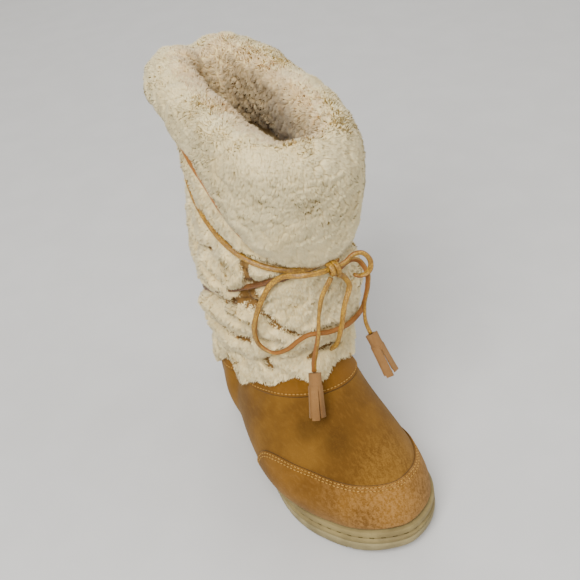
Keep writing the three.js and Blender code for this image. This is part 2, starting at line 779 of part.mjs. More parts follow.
const colours = {
  suede: new THREE.MeshStandardMaterial({ color: 0xa9742f, roughness: 0.95, metalness: 0 }),
  fleece: new THREE.MeshStandardMaterial({ color: 0xe6d9b4, roughness: 1, metalness: 0 }),
  rubber: new THREE.MeshStandardMaterial({ color: 0x8f7f55, roughness: 0.75, metalness: 0 }),
  tread: new THREE.MeshStandardMaterial({ color: 0x9a8a60, roughness: 0.8, metalness: 0 }),
  lace: new THREE.MeshStandardMaterial({ color: 0xb98a2e, roughness: 0.6, metalness: 0 }),
  tassel: new THREE.MeshStandardMaterial({ color: 0xa8693a, roughness: 0.9, metalness: 0 }),
  lining: new THREE.MeshStandardMaterial({ color: 0xcdb78c, roughness: 1, metalness: 0 }),
};

const boot = new THREE.Group();

function add(name, geometry, material) {
  const mesh = new THREE.Mesh(geometry, material);
  mesh.name = name;
  boot.add(mesh);
}

add("outsole", outsoleGeometry(), colours.tread);
add("midsole", midsoleGeometry(), colours.rubber);
add("insole", insoleGeometry(), colours.lining);
add("upper", upperGeometry(), colours.suede);
add("toe_cap", toeCapGeometry(), colours.suede);
add("ankle_band", ankleBandGeometry(), colours.suede);
add("shaft", shaftGeometry(), colours.fleece);
add("cuff", cuffGeometry(), colours.fleece);
add("lace_wraps", geometryOf(wrapsSolid(0)), colours.lace);
add("bow_knot", cordGeometry(knotPoints, 20), colours.lace);
add("left_loop", cordGeometry(leftLoopPoints, 34), colours.lace);
add("right_loop", cordGeometry(rightLoopPoints, 10), colours.lace);
add("short_end", cordGeometry(shortEndPoints, 12), colours.lace);
add("first_cord", cordGeometry(firstCordPoints, 12), colours.lace);
add("second_cord", cordGeometry(secondCordPoints, 14), colours.lace);
add("first_tassel", tasselGeometry(firstCordPoints, [-10.5, -18, -30]), colours.tassel);
add("second_tassel", tasselGeometry(secondCordPoints, [5, -23, -33]), colours.tassel);

export default boot;
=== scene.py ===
"""A winter boot for the right foot, dressed for its portrait.

A suede foot with a stitched toe cap and ankle band, a slumped sheepskin shaft with a turned-over cuff,
a thong laced round the shaft and tied in a bow with two tassels, and a stitched rubber cup sole.
Forms are worked out in the boot's own millimetres and turned into metres where a mesh is made. The toe
points to -Y, the inner side of the foot to +X, and the heel stands over the origin.
"""

from __future__ import annotations

import logging
import math
from dataclasses import dataclass, field
from enum import Enum
from typing import Callable, Sequence

import bmesh
import bpy
import numpy as np
from mathutils import Matrix, Vector
from mathutils.kdtree import KDTree


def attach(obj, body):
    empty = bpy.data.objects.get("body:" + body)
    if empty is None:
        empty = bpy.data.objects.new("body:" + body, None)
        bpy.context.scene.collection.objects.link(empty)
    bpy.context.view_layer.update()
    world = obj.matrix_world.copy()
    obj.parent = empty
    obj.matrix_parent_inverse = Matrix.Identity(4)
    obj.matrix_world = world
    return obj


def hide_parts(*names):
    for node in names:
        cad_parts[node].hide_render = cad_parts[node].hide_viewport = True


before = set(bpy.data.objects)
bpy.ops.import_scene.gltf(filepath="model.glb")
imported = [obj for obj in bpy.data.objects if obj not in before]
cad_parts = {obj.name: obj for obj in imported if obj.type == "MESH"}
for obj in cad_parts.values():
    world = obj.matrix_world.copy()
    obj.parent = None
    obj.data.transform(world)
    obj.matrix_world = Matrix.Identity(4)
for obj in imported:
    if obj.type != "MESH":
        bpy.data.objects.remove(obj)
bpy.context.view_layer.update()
LOG = logging.getLogger("boot")
MM = 0.001
Colour = tuple[float, float, float]
Array = np.ndarray


class Side(Enum):
    """The two sides of the sole's outline."""

    OUTER = "outer"
    INNER = "inner"


class Run(Enum):
    """The lace's runs round the shaft."""

    UPPER = "upper"
    MIDDLE = "middle"
    LOWER = "lower"


# The boot's own sizes, in millimetres, as in the part's source.


@dataclass(frozen=True)
class BootSizes:
    """Driving sizes of the boot, in millimetres."""

    sole_length: float = 276
    ball_width: float = 114
    heel_to_origin: float = 42
    sole_stack: float = 23
    heel_lift: float = 10
    toe_spring: float = 8
    arch_rise: float = 8
    tread_thickness: float = 10
    lug_depth: float = 3.5
    lug_groove: float = 4.5
    lug_pitch: float = 21
    upper_wall: float = 3
    feather_inset: float = 4
    collar_length: float = 120
    collar_width: float = 90
    collar_from_heel: float = 84
    collar_back: float = 110
    collar_front: float = 134
    overlay: float = 1.6
    band_reach: float = 44
    cap_reach: float = 42
    shaft_top_front: float = 326
    shaft_top_back: float = 344
    pile: float = 12
    covered_pile: float = 5
    hem_overlap: float = 28
    cuff_top_front: float = 345
    cuff_top_back: float = 362
    cuff_pile: float = 17
    cuff_lining: float = 14
    cuff_inside: float = 44
    lace_width: float = 4.6
    lace_thickness: float = 2.6
    cord: float = 4
    knot_radius: float = 4.7
    knot_turns: int = 2
    knot_up: float = 0.515
    knot_aside: float = 8
    tassel_length: float = 37
    tassel_width: float = 13
    gap: float = 0.3
    lace_gap: float = 0.8
    wrap_depth: float = 0.42
    fold_spread: float = 9
    toe_offset: float = 0.04


@dataclass(frozen=True)
class OutlineRow:
    """Half widths of the sole as shares of the ball width, at a share of its length."""

    along: float
    lateral: float
    medial: float


@dataclass(frozen=True)
class SectionRow:
    """A column of the upper: place round the sole, degrees round the collar, and its two handles."""

    at: float
    turn: float
    bulge: float
    lift: float
    flare: float
    drop: float


@dataclass(frozen=True)
class ReachRow:
    """How far the toe cap reaches up, at a place round the sole."""

    at: float
    reach: float


@dataclass(frozen=True)
class ShaftRow:
    """A level of the shaft's inner face, in shares of the collar's ring."""

    up: float
    length: float
    width: float
    forward: float
    lean: float
    square: float


@dataclass(frozen=True)
class FourWay:
    """A height at the back, outer side, front and inner side."""

    back: float
    outer: float
    front: float
    inner: float

    def at(self, turn: Array) -> Array:
        """The height at these degrees round the shaft.

        Args:
            turn: Degrees from the back over the outer side.

        Returns:
            The height, smooth through the four.
        """
        angle = np.radians(turn)
        middle = (self.back + self.outer + self.front + self.inner) / 4
        twice = (self.back + self.front - self.outer - self.inner) / 4
        slant = (self.back - self.front) * np.cos(angle) + (self.outer - self.inner) * np.sin(angle)
        return middle + slant / 2 + twice * np.cos(2 * angle)


@dataclass(frozen=True)
class FoldRow:
    """A slumped fold of the sheepskin: where it starts and ends, how it sags and how deep it is."""

    turn_from: float
    start: float
    turn_to: float
    end: float
    sag: float
    depth: float


@dataclass(frozen=True)
class PileCrease:
    """A crease of the fur: its places as degrees round and share up, its depth and half width in mm."""

    places: tuple[tuple[float, float], ...]
    depth: float
    half_width: float


@dataclass(frozen=True)
class Crease:
    """A soft trough pressed in the suede, between two places in plan, with its depth and half width."""

    start: tuple[float, float]
    end: tuple[float, float]
    depth: float
    half_width: float


SIZES = BootSizes()

OUTLINE_ROWS = (
    OutlineRow(0.022, 0.165, 0.155),
    OutlineRow(0.07, 0.275, 0.255),
    OutlineRow(0.15, 0.345, 0.315),
    OutlineRow(0.26, 0.37, 0.3),
    OutlineRow(0.38, 0.42, 0.265),
    OutlineRow(0.5, 0.48, 0.29),
    OutlineRow(0.6, 0.522, 0.36),
    OutlineRow(0.69, 0.533, 0.42),
    OutlineRow(0.77, 0.5, 0.465),
    OutlineRow(0.85, 0.42, 0.455),
    OutlineRow(0.92, 0.315, 0.375),
    OutlineRow(0.97, 0.175, 0.25),
)

SECTION_ROWS = (
    SectionRow(at=0, turn=0, bulge=9, lift=30, flare=6, drop=34),
    SectionRow(at=0.1, turn=48, bulge=20, lift=30, flare=10, drop=34),
    SectionRow(at=0.21, turn=92, bulge=36, lift=32, flare=16, drop=36),
    SectionRow(at=0.31, turn=128, bulge=38, lift=36, flare=18, drop=34),
    SectionRow(at=0.41, turn=157, bulge=18, lift=46, flare=22, drop=38),
    SectionRow(at=0.5, turn=180, bulge=4, lift=50, flare=24, drop=38),
    SectionRow(at=0.59, turn=203, bulge=0, lift=46, flare=20, drop=38),
    SectionRow(at=0.69, turn=232, bulge=-3, lift=36, flare=8, drop=34),
    SectionRow(at=0.79, turn=268, bulge=10, lift=34, flare=8, drop=36),
    SectionRow(at=0.9, turn=312, bulge=13, lift=30, flare=6, drop=34),
)

CAP_ROWS = (
    ReachRow(0.25, 0.1),
    ReachRow(0.275, 0.8),
    ReachRow(0.31, 1.28),
    ReachRow(0.37, 1.24),
    ReachRow(0.44, 1.02),
    ReachRow(0.5, 0.92),
    ReachRow(0.56, 0.85),
    ReachRow(0.63, 0.88),
    ReachRow(0.69, 0.86),
    ReachRow(0.73, 0.62),
    ReachRow(0.76, 0.1),
)

SHAFT_ROWS = (
    ShaftRow(up=0, length=1.05, width=1.05, forward=0.01, lean=0, square=2),
    ShaftRow(up=0.22, length=1.17, width=1.13, forward=0.06, lean=0, square=2.05),
    ShaftRow(up=0.46, length=1.16, width=1.07, forward=0.08, lean=-0.03, square=2.1),
    ShaftRow(up=0.72, length=1.17, width=0.96, forward=0.13, lean=-0.06, square=2.3),
    ShaftRow(up=1, length=1.46, width=0.76, forward=0.11, lean=-0.09, square=3),
)

WRAP_ROWS = {
    Run.UPPER: FourWay(back=0.82, outer=0.81, front=0.53, inner=0.76),
    Run.MIDDLE: FourWay(back=0.8, outer=0.65, front=0.51, inner=0.62),
    Run.LOWER: FourWay(back=0.15, outer=0.3, front=0.51, inner=0.33),
}

FOLD_ROWS = (
    FoldRow(15, 0.6, 150, 0.36, -0.03, 0.32),
    FoldRow(20, 0.42, 130, 0.22, -0.02, 0.34),
    FoldRow(30, 0.12, 150, 0.13, 0.03, 0.36),
    FoldRow(130, 0.03, 230, 0.16, -0.06, 0.34),
    FoldRow(210, 0.16, 345, 0.42, -0.02, 0.34),
    FoldRow(200, 0.3, 340, 0.62, -0.03, 0.32),
    FoldRow(225, 0.04, 350, 0.16, -0.02, 0.34),
)

# Creases of the slumped fur: degrees round and share up of each place along them.
PILE_CREASES = (
    PileCrease(((80, 0.45), (97, 0.426), (110, 0.398), (124, 0.358), (132, 0.313), (143, 0.285)), 10.5, 4.4),
    PileCrease(((52, 0.3), (79, 0.262), (92, 0.268), (117, 0.33), (136, 0.325)), 10.0, 4.2),
    PileCrease(((56, 0.15), (81, 0.122), (99, 0.111), (114, 0.105), (130, 0.105)), 9.5, 4.2),
    PileCrease(((137, 0.3), (146, 0.235), (160, 0.178), (180, 0.178), (208, 0.13)), 7.0, 4.2),
    PileCrease(((122, 0.62), (127, 0.51), (130, 0.4), (139, 0.32)), 5.5, 4.2),
    PileCrease(((141, -0.085), (133, 0.009), (142, 0.052), (154, 0.1), (172, 0.065)), 8.0, 3.2),
    PileCrease(((166, -0.045), (181, -0.02), (204, -0.06)), 5.0, 3.2),
    PileCrease(((62, 0.52), (84, 0.5), (104, 0.54)), 5.5, 4.0),
)

CUFF_BOTTOM = FourWay(back=318, outer=312, front=246, inner=300)

# Share of the height and mm outside the outline, up the side of the sole.
MIDSOLE_PROFILE = (
    (0.0, -0.2), (0.03, 0.25), (0.26, 0.95), (0.3, 0.8), (0.335, -0.4), (0.37, -0.9),
    (0.55, -0.9), (0.585, -0.3), (0.625, 0.45), (0.7, 0.55), (0.92, 0.3), (0.98, -0.15), (1.0, -0.8),
)
OUTSOLE_PROFILE = (
    (0.0, -2.0), (0.04, -1.4), (0.25, 0.1), (0.3, 0.35), (0.78, 1.2), (0.9, 1.1), (0.97, 0.7), (1.0, 0.1),
)

# Soft troughs of the foot: across the flex line of the vamp and round the ankle.
CREASES = (
    Crease((-52, -118), (18, -128), 0.9, 7.0),
    Crease((-46, -138), (30, -142), 0.6, 6.0),
    Crease((-58, -92), (-20, -104), 0.8, 6.0),
    Crease((20, -88), (50, -112), 0.9, 6.0),
    Crease((-52, -36), (-44, -72), 0.8, 7.0),
    Crease((34, -30), (40, -64), 0.8, 7.0),
)


def smooth_step(low: float, high: float, value: Array) -> Array:
    """A soft step from 0 at low to 1 at high."""
    share = np.clip((value - low) / (high - low), 0, 1)
    return share * share * (3 - 2 * share)


def blend(first: Array, second: Array, share: Array) -> Array:
    """The way from the first value to the second, at a share."""
    return first + (second - first) * share


def unit(vectors: Array) -> Array:
    """Vectors brought to a length of one."""
    return vectors / np.maximum(np.linalg.norm(vectors, axis=-1, keepdims=True), 1e-9)


def table_value(rows: Sequence, place_name: str, value_name: str, place: Array, period: float = 0) -> Array:
    """Reads one column of a table at some places, smooth between its rows.

    Args:
        rows: The table, in order of its places.
        place_name: The column that holds the places.
        value_name: The column that is read.
        place: Where it is read.
        period: The length after which the table repeats, or 0.

    Returns:
        The values at those places.
    """
    x = np.array([getattr(row, place_name) for row in rows], float)
    y = np.array([getattr(row, value_name) for row in rows], float)
    if period:
        turn = 360.0 if value_name == "turn" else 0.0
        x = np.concatenate([x[-2:] - period, x, x[:2] + period])
        y = np.concatenate([y[-2:] - turn, y, y[:2] + turn])
    else:
        x = np.concatenate([x[:1], x, x[-1:]])
        y = np.concatenate([y[:1], y, y[-1:]])
    i = np.clip(np.searchsorted(x, place, side="right") - 1, 1, len(x) - 3)
    span = x[i + 1] - x[i]
    m0 = (y[i + 1] - y[i - 1]) / (x[i + 1] - x[i - 1]) * span
    m1 = (y[i + 2] - y[i]) / (x[i + 2] - x[i]) * span
    t = np.clip((place - x[i]) / span, 0, 1)
    t2, t3 = t * t, t * t * t
    left = (2 * t3 - 3 * t2 + 1) * y[i] + (t3 - 2 * t2 + t) * m0
    right = (3 * t2 - 2 * t3) * y[i + 1] + (t3 - t2) * m1
    return left + right


def curve_through(points: Array, place: Array, closed: bool) -> Array:
    """Follows a centripetal curve through some points.

    Args:
        points: The points, one a row.
        place: Shares of the curve, each point an equal share from the next.
        closed: Whether the curve runs back to its first point.

    Returns:
        The places on the curve, one a row.
    """
    count = len(points)
    spans = count if closed else count - 1
    if not closed:
        first = 2 * points[0] - points[1]
        last = 2 * points[-1] - points[-2]
        points = np.vstack([points, last, first])
    p = np.asarray(place, float) * spans
    i = np.clip(np.floor(p).astype(int), 0, spans - 1)
    w = (p - i)[:, None]
    total = len(points)
    p0, p1, p2, p3 = (points[(i + k) % total] for k in (-1, 0, 1, 2))
    knots = [np.maximum(np.sum((b - a) ** 2, axis=1, keepdims=True) ** 0.25, 1e-4)
             for a, b in ((p0, p1), (p1, p2), (p2, p3))]
    d0, d1, d2 = knots
    m1 = ((p1 - p0) / d0 - (p2 - p0) / (d0 + d1) + (p2 - p1) / d1) * d1
    m2 = ((p2 - p1) / d1 - (p3 - p1) / (d1 + d2) + (p3 - p2) / d2) * d1
    return p1 + m1 * w + (-3 * p1 + 3 * p2 - 2 * m1 - m2) * w**2 + (2 * p1 - 2 * p2 + m1 + m2) * w**3


def lumps(points: Array, size: float, seed: int) -> Array:
    """Soft noise from -1 to 1.

    Args:
        points: Places, in millimetres.
        size: How far apart the lumps are, in millimetres.
        seed: Which noise it is.

    Returns:
        A value for each place.
    """
    rng = np.random.default_rng(seed)
    table = rng.uniform(-1, 1, 8192)
    scaled = points / size + rng.uniform(0, 50, 3)
    cell = np.floor(scaled).astype(np.int64)
    t = scaled - cell
    t = t * t * (3 - 2 * t)
    total = np.zeros(points.shape[:-1])
    for corner in np.ndindex(2, 2, 2):
        at = cell + np.array(corner)
        key = (at[..., 0] * 73856093) ^ (at[..., 1] * 19349663) ^ (at[..., 2] * 83492791)
        weight = np.prod(np.where(np.array(corner) == 1, t, 1 - t), axis=-1)
        total += table[key & 8191] * weight
    return total


# Forms: surfaces of the boot, worked out from its sizes.


@dataclass
class Surface:
    """A surface as a table of places, columns round the boot and rows up it.

    Attributes:
        places: Columns by rows by three, in millimetres.
        round: Whether the last column meets the first.
    """

    places: Array
    round: bool = True
    normals: Array = field(init=False)

    def __post_init__(self) -> None:
        """Works out the outward normals."""
        if self.round:
            across = np.roll(self.places, -1, axis=0) - np.roll(self.places, 1, axis=0)
        else:
            across = np.gradient(self.places, axis=0)
        self.normals = unit(np.cross(across, np.gradient(self.places, axis=1)))

    def moved(self, out: Array) -> Surface:
        """The surface moved out along its normals, by one distance or one for each place."""
        out = np.asarray(out, float)
        return Surface(self.places + self.normals * (out[..., None] if out.ndim else out), self.round)

    def read(self, column: Array, row: Array) -> tuple[Array, Array]:
        """Reads places and normals between the table's own.

        Args:
            column: Places across the table, in columns.
            row: Places up the table, in rows.

        Returns:
            The places and the normals.
        """
        columns, rows = self.places.shape[:2]
        i, k = np.floor(column).astype(int), np.clip(np.floor(row).astype(int), 0, rows - 2)
        s, t = (column - i)[..., None], np.clip(row - k, 0, 1)[..., None]
        if self.round:
            i, j = i % columns, (i + 1) % columns
        else:
            i, j = np.clip(i, 0, columns - 1), np.clip(i + 1, 0, columns - 1)
        out = []
        for table in (self.places, self.normals):
            low = blend(table[i, k], table[j, k], s)
            high = blend(table[i, k + 1], table[j, k + 1], s)
            out.append(blend(low, high, t))
        return out[0], unit(out[1])

    def scatter(self, count: int, rng: np.random.Generator, weight: Array) -> tuple[Array, Array]:
        """Picks places at random, evenly over the surface.

        Args:
            count: How many.
            rng: The random numbers.
            weight: How likely each cell is, over its area, columns by rows less one.

        Returns:
            The columns and rows of the places.
        """
        nxt = np.roll(self.places, -1, axis=0)
        across = (nxt - self.places)[:, :-1]
        upward = self.places[:, 1:] - self.places[:, :-1]
        area = np.linalg.norm(np.cross(across, upward), axis=2) * weight
        if not self.round:
            area[-1] = 0
        total = np.cumsum(area.ravel())
        cell = np.searchsorted(total, rng.uniform(0, total[-1], count))
        column, row = np.divmod(cell, area.shape[1])
        return column + rng.uniform(0, 1, count), row + rng.uniform(0, 1, count)


@dataclass(frozen=True)
class Last:
    """The sole's outline and heights, and the upper that stands on it."""

    sizes: BootSizes = SIZES

    def _plan(self, across: float, along: float) -> tuple[float, float]:
        """A place in plan, from its share across and along."""
        return across * self.sizes.ball_width, self.sizes.heel_to_origin - along * self.sizes.sole_length

    def outline(self, at: Array, out: Array = 0.0) -> Array:
        """The sole's outline, moved out.

        Args:
            at: Shares of the way round, from the heel over the outer side.
            out: Millimetres outside it.

        Returns:
            Places in plan, one a row.
        """
        control = [(0.0, self.sizes.heel_to_origin)]
        control += [self._plan(-row.lateral, row.along) for row in OUTLINE_ROWS]
        control += [self._plan(self.sizes.toe_offset, 1)]
        control += [self._plan(row.medial, row.along) for row in reversed(OUTLINE_ROWS)]
        points = np.array(control)
        at = np.asarray(at, float)
        tangent = self.tangent_of(points, at)
        place = curve_through(points, at % 1.0, True)
        out = np.broadcast_to(np.asarray(out, float), at.shape)[:, None]
        return place + np.column_stack([tangent[:, 1], -tangent[:, 0]]) * out

    @staticmethod
    def tangent_of(points: Array, at: Array) -> Array:
        """The outline's direction, from two places close by."""
        step = 2e-4
        ahead = curve_through(points, (at + step) % 1.0, True)
        return unit(ahead - curve_through(points, (at - step) % 1.0, True))

    def sideways(self, at: Array) -> Array:
        """The direction straight out of the outline, level."""
        away = self.outline(at, 1.0) - self.outline(at, 0.0)
        return np.column_stack([away, np.zeros(len(away))])

    def along(self, y: Array) -> Array:
        """Share of the sole's length at a place."""
        return np.clip((self.sizes.heel_to_origin - y) / self.sizes.sole_length, 0, 1)

    def rim(self, along: Array) -> Array:
        """Height of the sole's rim."""
        s = self.sizes
        heel = s.heel_lift * (1 - smooth_step(0.2, 0.62, along))
        return s.sole_stack + heel + s.toe_spring * smooth_step(0.66, 1.08, along)

    def parting(self, along: Array) -> Array:
        """Height of the line where the tread meets the cup."""
        s = self.sizes
        heel = s.heel_lift * (1 - smooth_step(0.2, 0.6, along))
        return s.tread_thickness + heel + s.toe_spring * smooth_step(0.68, 1.06, along)

    def tread(self, along: Array) -> Array:
        """Height of the tread's lower face: heel, breast, arch, forefoot and toe spring."""
        s = self.sizes
        arch = s.arch_rise * smooth_step(0.315, 0.335, along) * (1 - smooth_step(0.36, 0.56, along))
        toe = s.toe_spring * np.maximum(0, (along - 0.76) / 0.24) ** 1.8
        return arch + toe + 2.5 * np.maximum(0, 1 - along / 0.05)

    def collar(self, turn: Array, length: Array = 1.0, width: Array = 1.0, forward: Array = 0.0) -> Array:
        """A place of the collar's ring.

        Args:
            turn: Degrees from the back over the outer side.
            length: Scale of its length.
            width: Scale of its width.
            forward: Way forward, in shares of its length.

        Returns:
            The places, one a row.
        """
        s = self.sizes
        angle = np.radians(turn)
        middle = s.heel_to_origin - s.collar_from_heel - forward * s.collar_length
        across = -np.sin(angle) * s.collar_width * width / 2
        back = middle + np.cos(angle) * s.collar_length * length / 2
        return np.stack([across, back, self.collar_height(turn)], axis=-1)

    def collar_height(self, turn: Array) -> Array:
        """Height of the upper's top edge."""
        share = (1 - np.cos(np.radians(turn))) / 2
        return blend(self.sizes.collar_back, self.sizes.collar_front, share)

    def upper(self, columns: int, rows: int) -> tuple[Surface, Array]:
        """The upper's outer face.

        Args:
            columns: Columns of the table, round the boot.
            rows: Rows, from the sole's edge up to the collar.

        Returns:
            The surface, and the length of each column in millimetres.
        """
        s = self.sizes
        at = np.arange(columns) / columns
        value = {name: table_value(SECTION_ROWS, "at", name, at, 1.0)
                 for name in ("turn", "bulge", "lift", "flare", "drop")}
        plan = self.outline(at, -s.feather_inset)
        foot = np.column_stack([plan, self.rim(self.along(plan[:, 1])) + s.gap])
        top = self.collar(value["turn"])
        outward = (foot - top) * np.array([1, 1, 0])
        reach = np.linalg.norm(outward, axis=1, keepdims=True)
        sideways = self.sideways(at)
        away = unit(blend(sideways, unit(outward), smooth_step(16, 34, reach)))
        upright = np.array([0.0, 0.0, 1.0])
        lower = foot + sideways * value["bulge"][:, None] + upright * value["lift"][:, None]
        upper = top + away * value["flare"][:, None] - upright * value["drop"][:, None]
        t = np.linspace(0, 1, 161)[None, :, None]
        dense = ((1 - t) ** 3 * foot[:, None] + 3 * (1 - t) ** 2 * t * lower[:, None]
                 + 3 * (1 - t) * t**2 * upper[:, None] + t**3 * top[:, None])
        steps = np.linalg.norm(np.diff(dense, axis=1), axis=2)
        run = np.concatenate([np.zeros((columns, 1)), np.cumsum(steps, axis=1)], axis=1)
        share = np.linspace(0, 1, rows)
        places = np.empty((columns, rows, 3))
        for i in range(columns):
            for axis in range(3):
                places[i, :, axis] = np.interp(share * run[i, -1], run[i], dense[i, :, axis])
        return Surface(places), run[:, -1]

    def place_of_turn(self, turn: Array) -> Array:
        """Where on the outline a column ends at these degrees round the collar."""
        at = np.linspace(-0.1, 1.1, 2400)
        turns = table_value(SECTION_ROWS, "at", "turn", at % 1.0, 1.0) + 360 * np.floor(at)
        return np.interp(turn, turns, at)


@dataclass(frozen=True)
class ShaftForm:
    """The shaft, its folds and its cuff."""

    last: Last
    sizes: BootSizes = SIZES

    def front_share(self, turn: Array) -> Array:
        """Share of the way from the back to the front."""
        return (1 - np.cos(np.radians(turn))) / 2

    def high(self, turn: Array) -> Array:
        """Height of the shaft's top edge."""
        return blend(self.sizes.shaft_top_back, self.sizes.shaft_top_front, self.front_share(turn))

    def rise(self, turn: Array) -> Array:
        """How far the shaft rises over the collar."""
        return self.high(turn) - self.last.collar_height(turn)

    def up_of(self, turn: Array, height: Array) -> Array:
        """A height as a share of the shaft's rise."""
        return (height - self.last.collar_height(turn)) / self.rise(turn)

    def point(self, turn: Array, up: Array, out: Array) -> Array:
        """A place of the shaft's inner face, moved out.

        Args:
            turn: Degrees from the back over the outer side.
            up: Height as a share of the shaft's rise.
            out: Millimetres out of that face.

        Returns:
            The places.
        """
        turn, up, out = np.broadcast_arrays(*(np.asarray(v, float) for v in (turn, up, out)))
        value = {name: table_value(SHAFT_ROWS, "up", name, up)
                 for name in ("length", "width", "forward", "lean", "square")}
        half_length = self.sizes.collar_length * value["length"] / 2
        half_width = self.sizes.collar_width * value["width"] / 2
        power = 2 / value["square"]

        def on_ring(degrees: Array) -> Array:
            """A place of the ring at these degrees."""
            angle = np.radians(degrees)
            sine, cosine = np.sin(angle), np.cos(angle)
            across = -np.sign(sine) * np.abs(sine) ** power * half_width
            return np.stack([across, np.sign(cosine) * np.abs(cosine) ** power * half_length], axis=-1)

        ahead = on_ring(turn + 3) - on_ring(turn - 3)
        outward = unit(np.stack([ahead[..., 1], -ahead[..., 0]], axis=-1))
        plan = on_ring(turn) + outward * out[..., None]
        s = self.sizes
        x = plan[..., 0] + value["lean"] * s.collar_width
        y = plan[..., 1] + s.heel_to_origin - s.collar_from_heel - value["forward"] * s.collar_length
        return np.stack([x, y, self.last.collar_height(turn) + up * self.rise(turn)], axis=-1)

    def folds(self, turn: Array, up: Array, tight: float = 1.0) -> Array:
        """How far the folds press the fur in, as a share of its thickness.

        Args:
            turn: Degrees from the back over the outer side.
            up: Height as a share of the shaft's rise.
            tight: Scale of the folds' width.

        Returns:
            The share, below zero on the ridges beside a fold.
        """
        s = self.sizes
        scale = (s.shaft_top_back - s.collar_back) / (s.fold_spread * tight)

        def press(middle: Array, depth: Array) -> Array:
            """The trough and its ridges at a height."""
            away = (up - middle) * scale
            return depth * (np.exp(-away * away) - 0.4 * np.exp(-((np.abs(away) - 1.9) ** 2)))

        pressed = np.zeros(np.shape(up))
        for wrap in WRAP_ROWS.values():
            pressed = np.maximum(pressed, press(wrap.at(turn), s.wrap_depth))
        slumped = np.zeros(np.shape(up))
        for fold in FOLD_ROWS:
            share = (turn - fold.turn_from) / (fold.turn_to - fold.turn_from)
            inside = np.clip(share, 0, 1)
            middle = blend(fold.start, fold.end, inside) + 4 * fold.sag * inside * (1 - inside)
            ends = smooth_step(0, 0.2, inside) * smooth_step(0, 0.2, 1 - inside)
            slumped += ends * press(middle, fold.depth)
        return np.clip(pressed + slumped * (1 - pressed / s.wrap_depth), -0.35, 0.6)

    def creases(self, turn: Array, up: Array) -> Array:
        """How deep the fur's listed creases and the middles of its folds are, in millimetres.

        Args:
            turn: Degrees from the back over the outer side.
            up: Height as a share of the shaft's rise.

        Returns:
            The depth, a little below zero on the ridges beside a crease.
        """
        per_degree, per_share = 0.95, self.sizes.shaft_top_front - self.sizes.collar_back
        share = np.linspace(0, 1, 7)
        lines = [(np.array(c.places, float), c.depth, c.half_width) for c in PILE_CREASES]
        for f in FOLD_ROWS:
            middle = blend(f.start, f.end, share) + 4 * f.sag * share * (1 - share)
            lines.append((np.column_stack([blend(f.turn_from, f.turn_to, share), middle]), 15 * f.depth, 3.6))
        total = np.zeros(np.shape(up))
        for places, depth, half_width in lines:
            spots = places * (per_degree, per_share)
            nearest = np.full(np.shape(up), 1e9)
            along = np.zeros(np.shape(up))
            count = len(spots) - 1
            for k in range(count):
                way = spots[k + 1] - spots[k]
                x, y = turn * per_degree - spots[k, 0], up * per_share - spots[k, 1]
                s = np.clip((x * way[0] + y * way[1]) / (way @ way), 0, 1)
                gap = np.hypot(x - s * way[0], y - s * way[1])
                along = np.where(gap < nearest, (k + s) / count, along)
                nearest = np.minimum(nearest, gap)
            away = nearest / half_width
            fade = smooth_step(0, 0.15, along) * smooth_step(0, 0.15, 1 - along)
            trough = np.exp(-(away**2)) - 0.42 * np.exp(-((away - 2.0) ** 2))
            total = total + depth * fade * trough * (1 - np.clip(total, 0, depth) / (depth + 4))
        return total

    def pile(self, turn: Array, up: Array) -> Array:
        """Thickness of the sheepskin."""
        s = self.sizes
        under = smooth_step(-0.02, 0.05, up - self.up_of(turn, CUFF_BOTTOM.at(turn)))
        return blend(s.pile * (1 - self.folds(turn, up)), s.covered_pile, under)

    def cuff_point(self, turn: Array, height: Array, out: Array) -> Array:
        """A place of the cuff: at a height, moved out of the shaft's inner face."""
        place = self.point(turn, np.minimum(self.up_of(turn, height), 1), out)
        place[..., 2] = height
        return place

    def cuff_high(self, turn: Array) -> Array:
        """Height of the cuff's top, with the dip where its two ends meet at the back."""
        s = self.sizes
        high = blend(s.cuff_top_back, s.cuff_top_front, self.front_share(turn))
        off = (np.asarray(turn) + 180) % 360 - 180
        return high - 6.5 * np.exp(-((off / 9) ** 2))

    def knot(self) -> Array:
        """The middle of the bow's knot, on the front of the fur."""
        s = self.sizes
        out = s.pile + s.knot_radius + s.cord / 2 + 2 * s.lace_gap
        return self.point(180.0, s.knot_up, out) + np.array([s.knot_aside, 0, 0])


# Mesh helpers.


def add_sheet(mesh: bmesh.types.BMesh, places: Array, values: dict[str, Array] | None = None) -> None:
    """Adds a flat grid and bends it through a table of places.

    Args:
        mesh: The mesh that it goes into.
        places: Columns by rows by three, in millimetres.
        values: Numbers to keep on the vertices, by name, columns by rows.
    """
    columns, rows = places.shape[:2]
    layers = [mesh.verts.layers.float.get(name) or mesh.verts.layers.float.new(name) for name in values or {}]
    made = bmesh.ops.create_grid(mesh, x_segments=columns - 1, y_segments=rows - 1, size=1.0)["verts"]
    for vert, spot in zip(made, places.transpose(1, 0, 2).reshape(-1, 3) * MM):
        vert.co = spot
    for layer, table in zip(layers, (values or {}).values()):
        for vert, number in zip(made, np.asarray(table, float).T.ravel()):
            vert[layer] = number


